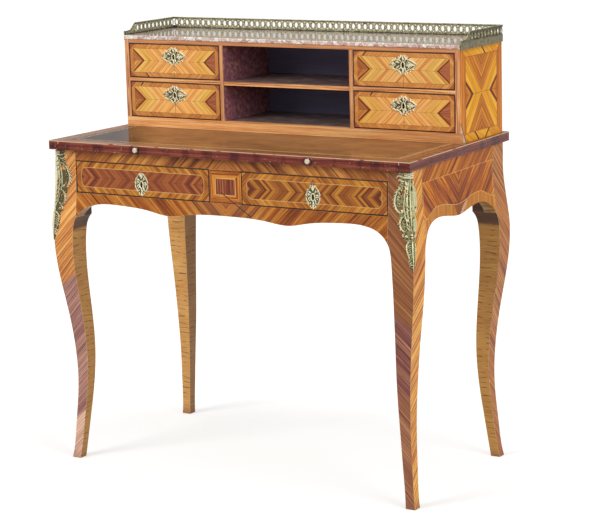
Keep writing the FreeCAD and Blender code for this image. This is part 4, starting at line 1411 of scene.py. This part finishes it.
def chute(side_name, brass):
    """Rococo leaf mount on the knee: a ringed collar, a tall ridge leaf between fronds and C-scrolls,
    with piercings beside it, and a tapering husk below."""
    node = f"chute_{side_name}"
    surface = knee_surface({"left": -1, "right": 1}[side_name])
    top = extent(node)[1].z
    narrow = 0.55

    def place(a, b, h):
        return surface(a if a < 0 else a * narrow, top - b, h)

    bm = bmesh.new()
    chute_ground(bm, surface, top)
    mark_ground(bm)
    chute_ridge(bm, place)
    chute_curls(bm, place)
    for sx in (-1, 1):
        def half(a, b, h):
            return place(a * sx, b, h)
        chute_scrolls(bm, half)
        chute_husk(bm, half)
    stroke(bm, place, [(0, 134, 1, 3), (0, 146, 1.5, 4.6), (0, 170, 1.2, 4.2),
                       (0, 203, 0.4, 1.6)], steps=5)
    for b in (126.5, 132):
        boss(bm, place, 0, b, 2, 5.4)
    piece_from(bm, f"{node}_relief", brass, "desk", node)


# ---- Stage ----

def softbox(name, place, size, power):
    """A round soft light that looks at the middle of the desk."""
    target = Vector((0, 0, 0.5))
    data = bpy.data.lights.new(name, "AREA")
    data.shape = "DISK"
    data.size = size
    data.energy = power
    lamp = add_object(name, data)
    lamp.location = place
    lamp.rotation_euler = (target - Vector(place)).to_track_quat("-Z", "Y").to_euler()


def seen_or_lit(tree, seen, lit):
    """A shader that is seen, also in gloss and through glass, and another that lights the object."""
    path = add_node(tree, "ShaderNodeLightPath")
    looks = path.outputs["Is Camera Ray"]
    for kind in ("Is Glossy Ray", "Is Transmission Ray"):
        looks = add_node(tree, "ShaderNodeMath", ((0, looks), (1, path.outputs[kind])),
                         operation="MAXIMUM").outputs[0]
    mix = add_node(tree, "ShaderNodeMixShader", ((0, looks), (1, lit.outputs[0]), (2, seen.outputs[0])))
    return mix.outputs[0]


def white_world():
    """Even warm light from all round the desk, and a white background."""
    world = bpy.data.worlds.new("studio")
    tree = empty_tree(world)
    warm_white = (1, 0.98, 0.95, 1)
    plain = add_node(tree, "ShaderNodeBackground", (("Color", warm_white), ("Strength", 0.5)))
    white = add_node(tree, "ShaderNodeBackground", (("Strength", 1),))
    add_node(tree, "ShaderNodeOutputWorld", (("Surface", seen_or_lit(tree, white, plain)),))
    bpy.context.scene.world = world


def glow_near_desk(tree):
    """Strength of the floor's glow: weaker within a metre of the desk, so that its shadow shows there."""
    stretch = (1, 1.3, 0)
    shift = (0.05, 0.2, 0)
    spot = add_node(tree, "ShaderNodeTexCoord")
    terms = enumerate((spot.outputs["Object"], stretch, shift))
    stretched = add_node(tree, "ShaderNodeVectorMath", terms, operation="MULTIPLY_ADD")
    distance = add_node(tree, "ShaderNodeVectorMath", ((0, stretched.outputs[0]),), operation="LENGTH")
    level = add_node(tree, "ShaderNodeMapRange", (
        ("Value", distance.outputs["Value"]), ("From Min", 0.5), ("From Max", 1.1), ("To Min", 0.51),
        ("To Max", 0.75)), interpolation_type="SMOOTHSTEP")
    return level.outputs["Result"]


def white_floor():
    """A pale floor that shows white to the camera and keeps a faint shadow."""
    reach = 60
    mesh = bpy.data.meshes.new("floor")
    mesh.from_pydata([(-reach, -reach, 0), (reach, -reach, 0), (reach, reach, 0), (-reach, reach, 0)], [],
                     [(0, 1, 2, 3)])
    floor = add_object("floor", mesh)
    material = bpy.data.materials.new("studio_floor")
    tree = empty_tree(material)
    paint = add_node(tree, "ShaderNodeBsdfDiffuse", (("Color", (0.6, 0.6, 0.6, 1)),))
    shaded = add_node(tree, "ShaderNodeBsdfDiffuse", (("Color", (0.62, 0.62, 0.62, 1)),))
    glow = add_node(tree, "ShaderNodeEmission", (("Strength", glow_near_desk(tree)),))
    both = add_node(tree, "ShaderNodeAddShader", ((0, shaded.outputs[0]), (1, glow.outputs[0])))
    add_node(tree, "ShaderNodeOutputMaterial", (("Surface", seen_or_lit(tree, both, paint)),))
    mesh.materials.append(material)


def camera():
    """The view of the photograph: place in metres, angles in radians, focal length in its pixels."""
    place = Vector((2.4751, -3.9621, 1.3765))
    yaw = 0.5502
    pitch = 0.1957
    roll = -0.0268
    focal_pixels = 2131.3
    image_width = 600
    ahead = Vector((-math.sin(yaw) * math.cos(pitch), math.cos(yaw) * math.cos(pitch), -math.sin(pitch)))
    level = Vector((math.cos(yaw), math.sin(yaw), 0))
    upright = level.cross(ahead)
    right = level * math.cos(roll) + upright * math.sin(roll)
    up = upright * math.cos(roll) - level * math.sin(roll)
    data = bpy.data.cameras.new("camera")
    data.sensor_width = 36
    data.lens = focal_pixels * data.sensor_width / image_width
    data.clip_end = 200
    view = add_object("camera", data)
    turn = Matrix((right, up, -ahead)).transposed()
    view.matrix_world = Matrix.Translation(place) @ turn.to_4x4()
    bpy.context.scene.camera = view


finish_nodes()
soften_boards()
bright_brass = gilt("gilt_mounts", 2, CREAM, reach=2, low=0.1, high=0.66, metallic=0.2, sparkle=1.5)
# Lit and shaded copies of the chutes' gilt: painted light on the right chute, painted shade on the left.
lit_brass_right = gilt("gilt_mounts_right", 2, YELLOW_CREAM, reach=2, low=0.15, high=0.62, metallic=0.2,
                   sparkle=3.6, tall=3.5)
shaded_brass_left = gilt("gilt_mounts_left", 2, SOFT_CREAM, reach=2, low=0.2, high=0.72, metallic=0.25,
                  sparkle=2.8, tall=3)
gallery_brass = gilt("gilt_gallery", 6, OLIVE, rough=0.38, high=1.1, metallic=0.25, right_shade=0.62)
# Ground plates: painted shade for the shadowed openwork, lighter on the right chute.
shaded_ground = gilt("gilt_ground", 3, GROUND, 0.38, 3, 0.25, 0.95)
shaded_ground_right = gilt("gilt_ground_right", 3, DEEP_GROUND, 0.38, 3, 0.25, 0.95, sparkle=3)
escutcheons([bright_brass, shaded_ground])
knobs(gilt("gilt_knobs", 4, DULL))
gallery(gallery_brass)
chute("right", [lit_brass_right, shaded_ground_right])
chute("left", [shaded_brass_left, shaded_ground])
white_world()
white_floor()
softbox("key", (-1.9, -3.5, 3), 2.2, 100)
softbox("fill", (3.6, -1.2, 2.2), 2.4, 66)
camera()
bpy.context.scene.view_settings.view_transform = "Standard"
